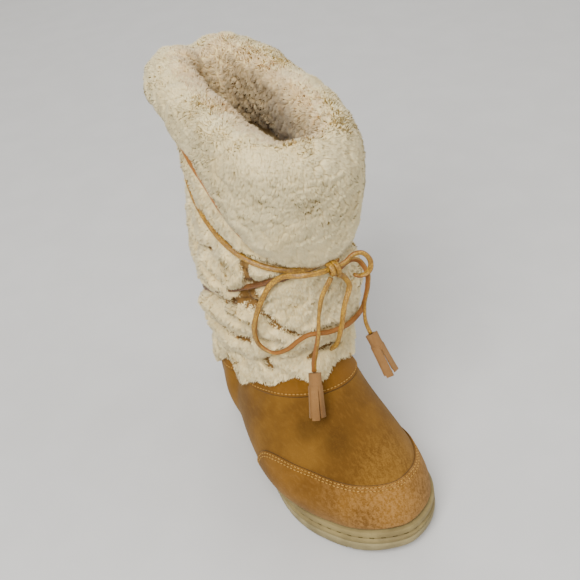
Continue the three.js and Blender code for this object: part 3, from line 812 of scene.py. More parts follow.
def to_object(mesh: bmesh.types.BMesh, name: str, material: bpy.types.Material, sharp: float = 180,
              close: bool = True) -> bpy.types.Object:
    """Closes a mesh's seams and makes it an object of the boot.

    Args:
        mesh: The mesh, which is freed.
        name: The object's name.
        material: Its finish.
        sharp: Edges that turn by more degrees than this stay crisp.
        close: Whether its open ends are filled.

    Returns:
        The object, linked to the scene.
    """
    bmesh.ops.remove_doubles(mesh, verts=mesh.verts, dist=0.004 * MM)
    bmesh.ops.dissolve_degenerate(mesh, edges=mesh.edges, dist=0.002 * MM)
    open_edges = [edge for edge in mesh.edges if edge.is_boundary]
    if close and open_edges:
        bmesh.ops.holes_fill(mesh, edges=open_edges, sides=0)
    bmesh.ops.recalc_face_normals(mesh, faces=mesh.faces)
    data = bpy.data.meshes.new(name)
    mesh.to_mesh(data)
    mesh.free()
    data.shade_smooth()
    if sharp < 180:
        data.set_sharp_from_angle(angle=math.radians(sharp))
    data.materials.append(material)
    piece = bpy.data.objects.new(name, data)
    bpy.context.scene.collection.objects.link(piece)
    return piece


def closed_loft(places: Array) -> Array:
    """A table whose last column is its first again, so that a sheet closes round."""
    return np.concatenate([places, places[:1]], axis=0)


def joined_copies(name: str, template: bmesh.types.BMesh, frames: Array, origins: Array,
                  material: bpy.types.Material) -> bpy.types.Object:
    """Many copies of one small shape, as one piece.

    Args:
        name: The object's name.
        template: The small shape, in millimetres, which is freed.
        frames: For each copy, its three axes as columns.
        origins: For each copy, its place in millimetres.
        material: The finish.

    Returns:
        The object.
    """
    bmesh.ops.triangulate(template, faces=template.faces)
    corners = np.array([vert.co for vert in template.verts])
    faces = np.array([[vert.index for vert in face.verts] for face in template.faces])
    template.free()
    spots = np.einsum("nij,mj->nmi", frames, corners) + origins[:, None]
    index = faces[None] + len(corners) * np.arange(len(origins))[:, None, None]
    return triangle_piece(name, spots.reshape(-1, 3), index.reshape(-1, 3), material)


def triangle_piece(name: str, spots: Array, faces: Array, material: bpy.types.Material) -> bpy.types.Object:
    """A piece from arrays of corners and triangles.

    Args:
        name: The object's name.
        spots: The corners, in millimetres.
        faces: Three corners a row.
        material: The finish.

    Returns:
        The object.
    """
    data = bpy.data.meshes.new(name)
    data.vertices.add(len(spots))
    data.vertices.foreach_set("co", (spots * MM).astype(np.float32).ravel())
    data.loops.add(faces.size)
    data.loops.foreach_set("vertex_index", faces.astype(np.int32).ravel())
    data.polygons.add(len(faces))
    data.polygons.foreach_set("loop_start", np.arange(0, faces.size, 3, dtype=np.int32))
    data.update(calc_edges=True)
    data.shade_smooth()
    data.materials.append(material)
    piece = bpy.data.objects.new(name, data)
    bpy.context.scene.collection.objects.link(piece)
    return piece


def place_in_boot(piece: bpy.types.Object, slot: str, *nodes: str) -> None:
    """Lets a piece ride on the boot, in place of the frame's nodes."""
    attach(piece, "root")
    if nodes:
        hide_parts(*nodes)
    LOG.info("%s: %d triangles", piece.name, sum(len(p.vertices) - 2 for p in piece.data.polygons))


# Shader graphs.


class Wire:
    """A socket of a shader graph that can stand in a sum."""

    def __init__(self, graph: Graph, socket: bpy.types.NodeSocket) -> None:
        """Keeps the graph and the socket."""
        self.graph = graph
        self.socket = socket

    def _math(self, operation: str, first: Wire | float, second: Wire | float) -> Wire:
        """Adds a Math node."""
        return self.graph.add("ShaderNodeMath", {"operation": operation}, {0: first, 1: second})

    def __add__(self, other: Wire | float) -> Wire:
        """Sum."""
        return self._math("ADD", self, other)

    __radd__ = __add__

    def __sub__(self, other: Wire | float) -> Wire:
        """Difference."""
        return self._math("SUBTRACT", self, other)

    def __rsub__(self, other: Wire | float) -> Wire:
        """Difference from a number."""
        return self._math("SUBTRACT", other, self)

    def __mul__(self, other: Wire | float) -> Wire:
        """Product."""
        return self._math("MULTIPLY", self, other)

    __rmul__ = __mul__


class Graph:
    """A material's node graph."""

    def __init__(self, name: str) -> None:
        """Starts an empty material with object coordinates at hand."""
        self.material = bpy.data.materials.new(name)
        self.material.use_nodes = True
        self.tree = self.material.node_tree
        self.tree.nodes.clear()
        self.place = self.add("ShaderNodeTexCoord", out="Object")

    def add(self, kind: str, settings: dict | None = None, sockets: dict | None = None,
            out: int | str = 0) -> Wire:
        """Adds a node.

        Args:
            kind: The node's type.
            settings: Its properties, set first. "stops" are a ramp's places and colours.
            sockets: Values or wires of its inputs, by name or number.
            out: The output that is wanted.

        Returns:
            That output.
        """
        node = self.tree.nodes.new(kind)
        for key, value in (settings or {}).items():
            if key == "stops":
                while len(node.color_ramp.elements) < len(value):
                    node.color_ramp.elements.new(0.5)
                for element, (spot, colour) in zip(node.color_ramp.elements, value):
                    element.position = spot
                    element.color = (*colour, 1)
            else:
                setattr(node, key, value)
        for key, value in (sockets or {}).items():
            if isinstance(value, Wire):
                self.tree.links.new(value.socket, node.inputs[key])
            elif isinstance(value, tuple) and node.inputs[key].type == "RGBA":
                node.inputs[key].default_value = (*value, 1)
            else:
                node.inputs[key].default_value = value
        return Wire(self, node.outputs[out])

    def noise(self, size_mm: float, detail: float = 2, stretch: tuple[float, float, float] = (1, 1, 1)) -> Wire:
        """Noise from 0 to 1 with lumps of this size, drawn out by a stretch along each axis."""
        scale = tuple(1000 / size_mm / way for way in stretch)
        where = self.add("ShaderNodeMapping", {}, {"Vector": self.place, "Scale": scale})
        return self.add("ShaderNodeTexNoise", {}, {"Vector": where, "Scale": 1.0, "Detail": detail})

    def cells(self, size_mm: float) -> Wire:
        """Distance to the edges of irregular cells of this size."""
        sockets = {"Vector": self.place, "Scale": 1000 / size_mm}
        return self.add("ShaderNodeTexVoronoi", {"feature": "DISTANCE_TO_EDGE"}, sockets)

    def soft(self, value: Wire, low: float, high: float) -> Wire:
        """A soft step of a value from 0 at low to 1 at high."""
        sockets = {"Value": value, "From Min": low, "From Max": high}
        return self.add("ShaderNodeMapRange", {"interpolation_type": "SMOOTHSTEP"}, sockets)

    def near(self, spot: tuple[float, float, float], inner: float, outer: float) -> Wire:
        """A mask of 1 within the inner distance of a spot, in millimetres, and 0 past the outer one."""
        point = tuple(v * MM for v in spot)
        distance = self.add("ShaderNodeVectorMath", {"operation": "DISTANCE"}, {0: self.place, 1: point}, "Value")
        return 1.0 - self.soft(distance, inner * MM, outer * MM)

    def height(self) -> Wire:
        """Height over the floor, in metres."""
        return self.add("ShaderNodeSeparateXYZ", {}, {0: self.place}, "Z")

    def attribute(self, name: str) -> Wire:
        """A number kept on the vertices."""
        return self.add("ShaderNodeAttribute", {"attribute_name": name}, {}, "Fac")

    def mix(self, factor: Wire | float, first: Wire | Colour, second: Wire | Colour, way: str = "MIX") -> Wire:
        """Mixes two colours."""
        settings = {"data_type": "RGBA", "blend_type": way, "clamp_factor": True}
        node = self.tree.nodes.new("ShaderNodeMix")
        for key, value in settings.items():
            setattr(node, key, value)
        for index, value in ((0, factor), (6, first), (7, second)):
            if isinstance(value, Wire):
                self.tree.links.new(value.socket, node.inputs[index])
            else:
                node.inputs[index].default_value = (*value, 1) if isinstance(value, tuple) else value
        return Wire(self, node.outputs[2])

    def bump(self, height: Wire, depth_mm: float, strength: float = 1.0, under: Wire | None = None) -> Wire:
        """A bump of this depth, over another one if there is one."""
        sockets = {"Height": height, "Distance": depth_mm * MM, "Strength": strength}
        if under:
            sockets["Normal"] = under
        return self.add("ShaderNodeBump", {}, sockets)

    def finish(self, colour: Wire | Colour, roughness: Wire | float, normal: Wire | None = None,
               **constants: float | Colour) -> bpy.types.Material:
        """Ends the graph in a Principled shader.

        Args:
            colour: The base colour.
            roughness: The roughness.
            normal: The bump.
            constants: Other sockets, with underscores for spaces.

        Returns:
            The material.
        """
        sockets = {"Base Color": colour, "Roughness": roughness}
        if normal:
            sockets["Normal"] = normal
        sockets |= {key.replace("_", " "): value for key, value in constants.items()}
        shader = self.add("ShaderNodeBsdfPrincipled", {}, sockets)
        self.add_output(shader)
        return self.material

    def add_output(self, shader: Wire) -> None:
        """Links a shader to the material's output."""
        node = self.tree.nodes.new("ShaderNodeOutputMaterial")
        self.tree.links.new(shader.socket, node.inputs["Surface"])


def paint(code: str) -> Colour:
    """A colour from its six hexadecimal digits, as light."""
    parts = [int(code[i:i + 2], 16) / 255 for i in (0, 2, 4)]
    return tuple(v / 12.92 if v <= 0.04045 else ((v + 0.055) / 1.055) ** 2.4 for v in parts)


# Finishes.


@dataclass(frozen=True)
class SuedeFinish:
    """Suede with a short nap: mottled, streaked, worn pale in places and smudged dark in others, darker at raw edges,
    with painted shade in its stitch grooves and, together with dirt, where it meets the sole.

    Attributes:
        name: The material's name.
        body: The main colour.
        deep: The darker colour of pressed nap, and the base of the darker raw edges and of the painted shade.
        worn: The colour where it is scuffed.
        scuff: Spots that are scuffed, each with its inner and outer reach, in millimetres.
        smudges: Spots that are dark, in the same way.
    """

    name: str
    body: Colour
    deep: Colour
    worn: Colour
    scuff: tuple = ()
    smudges: tuple = ()

    def material(self) -> bpy.types.Material:
        """Makes the material."""
        graph = Graph(self.name)
        cloud = graph.noise(34, 3)
        nap = graph.noise(1.1, 4)
        streak = graph.noise(2.2, 3, (1.0, 3.6, 1.4))
        colour = graph.mix(graph.soft(cloud, 0.32, 0.7), self.deep, self.body)
        colour = graph.mix(graph.soft(streak, 0.45, 0.75) * 0.14, colour, self.worn)
        colour = graph.mix(graph.soft(nap, 0.52, 0.3) * 0.22, colour, self.deep)
        for spot, inner, outer in self.scuff:
            mask = graph.near(spot, inner, outer) * graph.soft(streak + nap, 0.75, 1.25)
            colour = graph.mix(mask * 0.45, colour, self.worn)
        for spot, inner, outer in self.smudges:
            mask = graph.near(spot, inner, outer) * graph.soft(cloud + nap, 0.55, 1.0)
            colour = graph.mix(mask * 0.42, colour, tuple(0.35 * v for v in self.deep))
        # Darker where the edge number is high: raw cut edges and hidden undersides, painted shade in the stitch
        # grooves, and partly dirt, partly painted shade where the upper meets the sole.
        edge = graph.soft(graph.attribute("edge"), 0.1, 1.0)
        colour = graph.mix(edge * 0.75, colour, tuple(0.45 * v for v in self.deep))
        fine = graph.bump(nap, 0.35, 0.5)
        normal = graph.bump(graph.noise(9, 3), 0.7, 0.5, fine)
        return graph.finish(colour, 0.96, normal, Specular_IOR_Level=0.12, Sheen_Weight=0.12,
                            Sheen_Roughness=0.6, Sheen_Tint=(1.0, 0.8, 0.5))


@dataclass(frozen=True)
class RubberFinish:
    """Matt moulded rubber, darker towards the floor: partly dirt specks, partly painted shade."""

    name: str
    body: Colour
    dark: Colour
    dirt_and_shade: Colour
    dirt_and_shade_height: float = 9.0

    def material(self) -> bpy.types.Material:
        """Makes the material."""
        graph = Graph(self.name)
        cloud = graph.noise(18, 3)
        grain = graph.noise(0.9, 3)
        colour = graph.mix(graph.soft(cloud, 0.35, 0.7), self.dark, self.body)
        # Darker towards the floor: a smooth painted shade, broken up by dirt specks.
        low = 1.0 - graph.soft(graph.height(), 0.0, self.dirt_and_shade_height * MM)
        specks = graph.soft(graph.noise(3.2, 4), 0.5, 0.66)
        colour = graph.mix(low * (0.35 + 0.5 * specks), colour, self.dirt_and_shade)
        colour = graph.mix(graph.soft(grain, 0.58, 0.75) * 0.35, colour, self.dirt_and_shade)
        normal = graph.bump(grain, 0.12, 0.6)
        return graph.finish(colour, 0.55 + 0.25 * cloud, normal, Specular_IOR_Level=0.35)


@dataclass(frozen=True)
class FleeceFinish:
    """Sheepskin pile: pale at the tips, dark and warm at the root, partly as painted shade in the gaps between hairs,
    and with painted shade from the shade number in the folds and hollows.
    """

    name: str
    root: Colour
    body: Colour
    tip: Colour
    stain: Colour
    deep: Colour

    def material(self) -> bpy.types.Material:
        """Makes the material."""
        graph = Graph(self.name)
        height = graph.attribute("tip")
        shade = graph.attribute("shade")
        colour = graph.mix(graph.soft(height, -0.5, 0.4), self.root, self.body)
        colour = graph.mix(graph.soft(height, 0.45, 1.0), colour, self.tip)
        colour = graph.mix(graph.soft(shade, 0.25, 1.0) * 0.8, colour, self.root)
        colour = graph.mix(graph.soft(shade, 0.35, 0.9) * 0.95, colour, self.deep)
        patch = graph.soft(graph.noise(30, 3), 0.5, 0.75)
        colour = graph.mix(patch * 0.4, colour, self.stain)
        normal = graph.bump(graph.noise(1.6, 3), 0.3, 0.2)
        return graph.finish(colour, 1.0, normal, Specular_IOR_Level=0.05, Sheen_Weight=0.15,
                            Sheen_Roughness=0.5, Sheen_Tint=(1.0, 0.95, 0.85))


@dataclass(frozen=True)
class ThongFinish:
    """A leather thong: waxed and crackled on its grain side, rust-coloured on its flesh side."""

    name: str
    grain: Colour
    crack: Colour
    flesh: Colour

    def material(self) -> bpy.types.Material:
        """Makes the material."""
        graph = Graph(self.name)
        cracks = 1.0 - graph.soft(graph.cells(2.0), 0.02, 0.2)
        cloud = graph.noise(7, 3)
        grain = graph.mix(graph.soft(cloud, 0.35, 0.7) * 0.6, self.grain, self.crack)
        grain = graph.mix(cracks * 0.8, grain, self.crack)
        flesh = graph.mix(graph.soft(graph.noise(1.2, 3), 0.4, 0.7) * 0.5, self.flesh, self.crack)
        side = graph.soft(graph.attribute("flesh"), 0.42, 0.6)
        colour = graph.mix(side, grain, flesh)
        normal = graph.bump(cracks, -0.2, 0.7)
        return graph.finish(colour, 0.42 + 0.35 * side, normal, Specular_IOR_Level=0.45, Coat_Weight=0.08)


@dataclass(frozen=True)
class PlainFinish:
    """Thread, felt or floor: one colour with a fine mottle."""

    name: str
    body: Colour
    dark: Colour
    size: float = 1.5
    roughness: float = 0.8

    def material(self) -> bpy.types.Material:
        """Makes the material."""
        graph = Graph(self.name)
        mottle = graph.noise(self.size, 3)
        colour = graph.mix(graph.soft(mottle, 0.35, 0.7), self.dark, self.body)
        return graph.finish(colour, self.roughness, graph.bump(mottle, 0.15, 0.5), Specular_IOR_Level=0.2)


SUEDE = SuedeFinish(
    "suede",
    body=paint("755019"),
    deep=paint("5c3c10"),
    worn=paint("926a2d"),
    scuff=(((8, -206, 66), 12, 48),),
    smudges=(((-35, -147, 91), 4, 17), ((-21, -168, 87), 4, 21), ((-62, -70, 40), 8, 30)),
)
CAP_SUEDE = SuedeFinish(
    "toe_cap_suede",
    body=paint("7d541a"),
    deep=paint("623f0f"),
    worn=paint("a17742"),
    scuff=(((20, -224, 44), 22, 66), ((-20, -215, 48), 14, 60)),
    smudges=(((-60, -120, 36), 10, 34), ((-54, -182, 39), 1.5, 3.5)),
)
BAND_SUEDE = SuedeFinish(
    "ankle_band_suede",
    body=paint("754d16"),
    deep=paint("5b3a0c"),
    worn=paint("8b642c"),
)
TASSEL_SUEDE = SuedeFinish("tassel_suede", body=paint("866038"), deep=paint("664524"), worn=paint("a28054"))
SIDEWALL = RubberFinish("sidewall_rubber", body=paint("8f7e50"), dark=paint("786840"), dirt_and_shade=paint("4f4426"))
TREAD = RubberFinish("tread_rubber", body=paint("978961"), dark=paint("80734e"), dirt_and_shade=paint("544a2e"), dirt_and_shade_height=7)
FLEECE = FleeceFinish("fleece", root=paint("d8b87c"), body=paint("f3dca2"), tip=paint("fdeebd"), stain=paint("ecd08e"),
                       deep=paint("7a5628"))
LINING = FleeceFinish("lining_fleece", root=paint("8f6a3c"), body=paint("e0c08c"), tip=paint("f2dbac"),
                      stain=paint("c79a60"), deep=paint("6d4c27"))
GOLD_THONG = ThongFinish("gold_thong", grain=paint("bd8f2b"), crack=paint("6f4a14"), flesh=paint("90591d"))
RUST_THONG = ThongFinish("rust_thong", grain=paint("a0602a"), crack=paint("6b3b14"), flesh=paint("ab7030"))
BROWN_THONG = ThongFinish("brown_thong", grain=paint("7d5026"), crack=paint("4c2f14"), flesh=paint("8c5a2c"))
THREAD = PlainFinish("thread", body=paint("c99a52"), dark=paint("97702f"), size=0.6)
RIM_THREAD = PlainFinish("rim_thread", body=paint("5f5226"), dark=paint("40361a"), size=0.8)
FELT = PlainFinish("insole_felt", body=paint("c9ad7c"), dark=paint("a98c5e"), size=3.0, roughness=1.0)


# Sub-assemblies.


@dataclass
class SoleUnit:
    """The rubber cup sole: a tread with cross lugs, and a stitched sidewall."""

    last: Last
    stations: int = 150
    edge: float = 0.12
    stitch_pitch: float = 9.5

    def groove_places(self) -> list[float]:
        """Middles of the grooves between lugs, as shares of the sole's length."""
        pitch = self.last.sizes.lug_pitch / self.last.sizes.sole_length
        forefoot = np.arange(0.6, 0.98, pitch)
        heel = np.arange(0.1, 0.28, pitch)
        return [*forefoot, *heel]

    def _stations(self) -> Array:
        """Places along the sole, close at its ends and at the edges of the grooves."""
        s = self.last.sizes
        turn = np.linspace(0, math.pi, self.stations)
        along = list((1 - np.cos(turn)) / 2)
        half = s.lug_groove / 2 / s.sole_length
        step = self.edge / s.sole_length
        for middle in self.groove_places():
            for side in (-half, half):
                along += [middle + side - step, middle + side + step]
        return s.heel_to_origin - np.unique(np.clip(along, 0, 1)) * s.sole_length

    def _ring(self, y: Array) -> Array:
        """Shares round the outline whose places lie at these places along, outer side then inner."""
        at = np.linspace(0, 0.5, 1500)
        outer = np.interp(-y, -self.last.outline(at)[:, 1], at)
        inner = np.interp(-y, -self.last.outline(1 - at)[:, 1], 1 - at)
        return np.concatenate([outer, inner[::-1]])

    def _under(self, y: Array) -> Array:
        """Height of the tread's lower face, or of a groove's ceiling."""
        s = self.last.sizes
        along = self.last.along(y)
        height = self.last.tread(along)
        for middle in self.groove_places():
            inside = np.abs(along - middle) * s.sole_length < s.lug_groove / 2
            height = np.where(inside, self.last.tread(np.array(middle)) + s.lug_depth, height)
        return height

    def _body(self, name: str, profile: Sequence, y: Array, low: Array, high: Array,
              ceiling: Array, material: bpy.types.Material) -> bpy.types.Object:
        """A body of the sole, from its lower heights to its upper ones."""
        at = self._ring(y)
        both = lambda heights: np.concatenate([heights, heights[::-1]])
        floor, roof, least = both(low), both(high), both(ceiling)
        rows = []
        for up, out in profile:
            plan = self.last.outline(at, out)
            rows.append(np.column_stack([plan, np.maximum(blend(floor, roof, up), least)]))
        wall = np.stack(rows, axis=1)
        count = len(y)
        mesh = bmesh.new()
        add_sheet(mesh, closed_loft(wall))
        for row in (0, -1):
            outer, inner = wall[:count, row], wall[count:, row][::-1]
            add_sheet(mesh, np.stack([outer, (outer + inner) / 2, inner], axis=1))
        return to_object(mesh, name, material, sharp=32)

    def build(self) -> None:
        """Makes the tread, the sidewall and the stitches in its groove."""
        y = self._stations()
        along = self.last.along(y)
        parting = self.last.parting(along)
        tread = self._body("tread", OUTSOLE_PROFILE, y, self.last.tread(along), parting, self._under(y),
                           TREAD.material())
        place_in_boot(tread, "tread_rubber", "outsole")
        low = parting + self.last.sizes.gap
        sidewall = self._body("sidewall", MIDSOLE_PROFILE, y, low, self.last.rim(along), low,
                              SIDEWALL.material())
        place_in_boot(sidewall, "sidewall_rubber", "midsole")
        self._rim_stitches()

    def _rim_stitches(self) -> None:
        """The stitches that lie in the sidewall's groove."""
        at = np.linspace(0, 1, 2000)
        line = self.last.outline(at, -0.75)
        run = np.concatenate([[0], np.cumsum(np.linalg.norm(np.diff(line, axis=0), axis=1))])
        spots = np.interp(np.arange(0, run[-1] - 4, self.stitch_pitch), run, at)
        plan = self.last.outline(spots, -0.75)
        along = self.last.along(plan[:, 1])
        height = blend(self.last.parting(along) + self.last.sizes.gap, self.last.rim(along), 0.46)
        origins = np.column_stack([plan, height])
        away = self.last.sideways(spots)
        tangent = np.column_stack([-away[:, 1], away[:, 0], np.zeros(len(away))])
        frames = np.stack([tangent, away, np.cross(tangent, away)], axis=2)
        stitches = joined_copies("rim_stitches", stitch_shape(4.6, 0.9, 1.1), frames, origins, RIM_THREAD.material())
        place_in_boot(stitches, "sidewall_rubber")


def stitch_shape(length: float, height: float, width: float) -> bmesh.types.BMesh:
    """One stitch: a small bead drawn out along its first axis.

    Args:
        length: Its length, in millimetres.
        height: Its size along the second axis.
        width: Its size along the third axis.

    Returns:
        The mesh.
    """
    mesh = bmesh.new()
    bmesh.ops.create_uvsphere(mesh, u_segments=6, v_segments=4, radius=0.5)
    bmesh.ops.rotate(mesh, verts=mesh.verts, cent=(0, 0, 0), matrix=Matrix.Rotation(math.pi / 2, 3, "Y"))
    bmesh.ops.scale(mesh, vec=(length, height, width), verts=mesh.verts)
    return mesh


@dataclass
class SuedeFoot:
    """The suede upper with its toe cap and ankle band, their stitches and the seam at the back."""

    last: Last
    columns: int = 288
    rows: int = 72
    stitch_pitch: float = 3.3
    face: Surface = field(init=False)
    lengths: Array = field(init=False)

    def __post_init__(self) -> None:
        """Works out the upper's outer face, with its creases."""
        plain, self.lengths = self.last.upper(self.columns, self.rows)
        self.face = plain.moved(-self._creases(plain.places))

    def _creases(self, places: Array) -> Array:
        """How far the creases and small dents press the suede in."""
        pressed = 0.35 * lumps(places, 42, 3) + 0.12 * lumps(places, 13, 4)
        for crease in CREASES:
            start, end = np.array(crease.start), np.array(crease.end)
            way = end - start
            share = np.clip(((places[..., :2] - start) @ way) / (way @ way), 0, 1)
            away = np.linalg.norm(places[..., :2] - start - share[..., None] * way, axis=-1)
            away /= crease.half_width
            fade = np.sin(np.pi * np.clip(share, 0.02, 0.98)) ** 0.5
            high = smooth_step(34, 52, places[..., 2])
            pressed += crease.depth * fade * high * (np.exp(-away**2) - 0.45 * np.exp(-((away - 1.8) ** 2)))
        edges = np.minimum(np.arange(self.rows), np.arange(self.rows)[::-1])
        return np.where(edges > 3, pressed, pressed * edges / 3)

    def _read(self, at: Array, reach: Array, out: Array) -> tuple[Array, Array]:
        """Places and normals over the upper, at millimetres up a column and out of its face."""
        column = (at % 1.0) * self.columns
        length = np.interp(column, np.arange(self.columns + 1), np.append(self.lengths, self.lengths[0]))
        place, normal = self.face.read(column, np.clip(reach / length, 0, 1) * (self.rows - 1))
        return place + normal * np.asarray(out)[..., None], normal

    def _length(self, at: Array) -> Array:
        """Length of the upper's column at a place round the sole."""
        column = (at % 1.0) * self.columns
        return np.interp(column, np.arange(self.columns + 1), np.append(self.lengths, self.lengths[0]))

    def _upper(self) -> None:
        """The hollow upper with its wall."""
        inner = self.face.moved(-self.last.sizes.upper_wall).places
        inner[:, 0, 2] = self.face.places[:, 0, 2]
        inner[:, -1, 2] = self.face.places[:, -1, 2]
        loop = np.concatenate([self.face.places, inner[:, ::-3], self.face.places[:, :1]], axis=1)
        reach = np.linspace(0, 1, self.rows)[None] * self.lengths[:, None]
        # Partly dirt, partly painted shade: the suede darkens within a few mm of where the upper meets the sole.
        dirt_and_shade = np.concatenate([np.exp(-((reach / 2.4) ** 2)), np.zeros(inner[:, ::-3].shape[:2]),
                               np.ones((self.columns, 1))], axis=1)
        mesh = bmesh.new()
        add_sheet(mesh, closed_loft(loop), {"edge": closed_loft(dirt_and_shade)})
        place_in_boot(to_object(mesh, "foot", SUEDE.material(), sharp=50), "suede", "upper")

    def _overlay(self, name: str, at: Array, low: Array, high: Array, material: bpy.types.Material,
                 around: bool, insets: Sequence[float]) -> bpy.types.Object:
        """A piece laid on the upper between two reaches, with its edges rounded.

        Args:
            name: The object's name.
            at: Its columns, places round the sole.
            low: Its lower reach at each, in millimetres up the column.
            high: Its upper reach.
            material: Its finish.
            around: Whether it closes round the boot.
            insets: How far in from its free edge its stitches lie, each in a soft groove.

        Returns:
            The object.
        """
        s = self.last.sizes
        fine = np.linspace(0, 1, 24)[None] * np.minimum(8.0, (high - low) * 0.4)[:, None]
        free, far, way = (low, high, 1.0) if around else (high, low, -1.0)
        reach = free[:, None] + way * fine
        rest = np.linspace(0, 1, 16)[None, 1:]
        reach = np.concatenate([reach, blend(reach[:, -1:], far[:, None], rest)], axis=1)
        from_free = np.abs(reach - free[:, None])
        from_edge = np.minimum(from_free, np.abs(far[:, None] - reach))
        if not around:
            run = np.concatenate([[0], np.cumsum(np.abs(np.diff(at)))]) * s.sole_length * 2.2
            from_edge = np.minimum(from_edge, np.minimum(run, run[-1] - run)[:, None])
        thick = s.overlay * np.sqrt(np.clip(from_edge / (0.6 * s.overlay), 0.03, 1))
        for inset in insets:
            thick = thick - 0.5 * np.exp(-(((from_free - inset) / 0.75) ** 2)) * (from_edge > 1)
        here = np.broadcast_to(at[:, None], reach.shape)
        outside, _ = self._read(here, reach, s.gap + thick)
        inside, _ = self._read(here, reach, np.full(reach.shape, s.gap * 0.6))
        loop = np.concatenate([outside, inside[:, ::-1], outside[:, :1]], axis=1)
        # Darker raw cut edges and hidden underside, and painted shade along the stitch grooves.
        worn = np.exp(-((from_edge / 0.8) ** 2))
        for inset in insets:
            worn = np.maximum(worn, 0.65 * np.exp(-(((from_free - inset) / 0.6) ** 2)))
        worn = np.concatenate([worn, np.ones(reach.shape), worn[:, :1]], axis=1)
        mesh = bmesh.new()
        if around:
            loop, worn = closed_loft(loop), closed_loft(worn)
        add_sheet(mesh, loop, {"edge": worn})
        return to_object(mesh, name, material, sharp=60)

    def _stitches(self, name: str, at: Array, reach: Array, out: float, shape: tuple[float, float, float],
                  material: bpy.types.Material, slot: str = "suede") -> None:
        """A row of stitches along a line on the upper."""
        line, _ = self._read(at, reach, np.full(at.shape, out))
        run = np.concatenate([[0], np.cumsum(np.linalg.norm(np.diff(line, axis=0), axis=1))])
        spots = np.arange(self.stitch_pitch, run[-1] - self.stitch_pitch, self.stitch_pitch)
        here, there = np.interp(spots, run, at), np.interp(spots, run, reach)
        origins, normals = self._read(here, there, np.full(here.shape, out))
        ahead = np.stack([np.interp(spots + 0.5, run, line[:, axis]) - np.interp(spots - 0.5, run, line[:, axis])
                          for axis in range(3)], axis=1)
        tangent = unit(ahead - normals * np.sum(ahead * normals, axis=1, keepdims=True))
        frames = np.stack([tangent, np.cross(normals, tangent), normals], axis=2)
        row = joined_copies(name, stitch_shape(*shape), frames, origins, material)
        place_in_boot(row, slot)

    def _toe_cap(self, thread: bpy.types.Material) -> None:
        """The toe cap and its double row of stitches."""
        s = self.last.sizes
        at = np.linspace(CAP_ROWS[0].at, CAP_ROWS[-1].at, 220)
        low = np.full(at.shape, 4 * s.gap)
        high = low + s.cap_reach * table_value(CAP_ROWS, "at", "reach", at)
        cap = self._overlay("toe_cap_cover", at, low, high, CAP_SUEDE.material(), False, (2.2, 5.0))
        place_in_boot(cap, "suede", "toe_cap")
        for name, inset in (("cap_stitches_outer", 2.2), ("cap_stitches_inner", 5.0)):
            keep = high - inset > low + 3
            self._stitches(name, at[keep], (high - inset)[keep], s.gap + s.overlay - 0.25, (2.5, 1.0, 0.9), thread)

    def _ankle_band(self, thread: bpy.types.Material) -> None:
        """The ankle band and the stitches along its lower edge."""
        s = self.last.sizes
        at = np.arange(320) / 320
        length = self._length(at)
        low = length - s.band_reach * (0.72 + 0.28 * np.sin(np.pi * at) ** 4)
        band = self._overlay("ankle_band_cover", at, low, length - 1, BAND_SUEDE.material(), True, (2.4,))
        place_in_boot(band, "suede", "ankle_band")
        ring = np.linspace(0, 1, 700)
        edge = np.interp(ring, np.append(at, 1), np.append(low, low[0]))
        self._stitches("band_stitches", ring, edge + 2.4, s.gap + s.overlay - 0.25, (2.5, 1.0, 0.9), thread)

    def _back_seam(self, thread: bpy.types.Material) -> None:
        """The plain seam at the heel, with a row of stitches on each side."""
        reach = np.linspace(4, self._length(np.array([0.0]))[0] - 34, 60)
        for name, side in (("back_stitches_outer", 0.0042), ("back_stitches_inner", -0.0042)):
            self._stitches(name, np.full(reach.shape, side), reach, 0.15, (2.5, 0.8, 0.6), thread)

    def build(self) -> None:
        """Makes the foot's pieces."""
        thread = THREAD.material()
        self._upper()
        self._toe_cap(thread)
        self._ankle_band(thread)
        self._back_seam(thread)


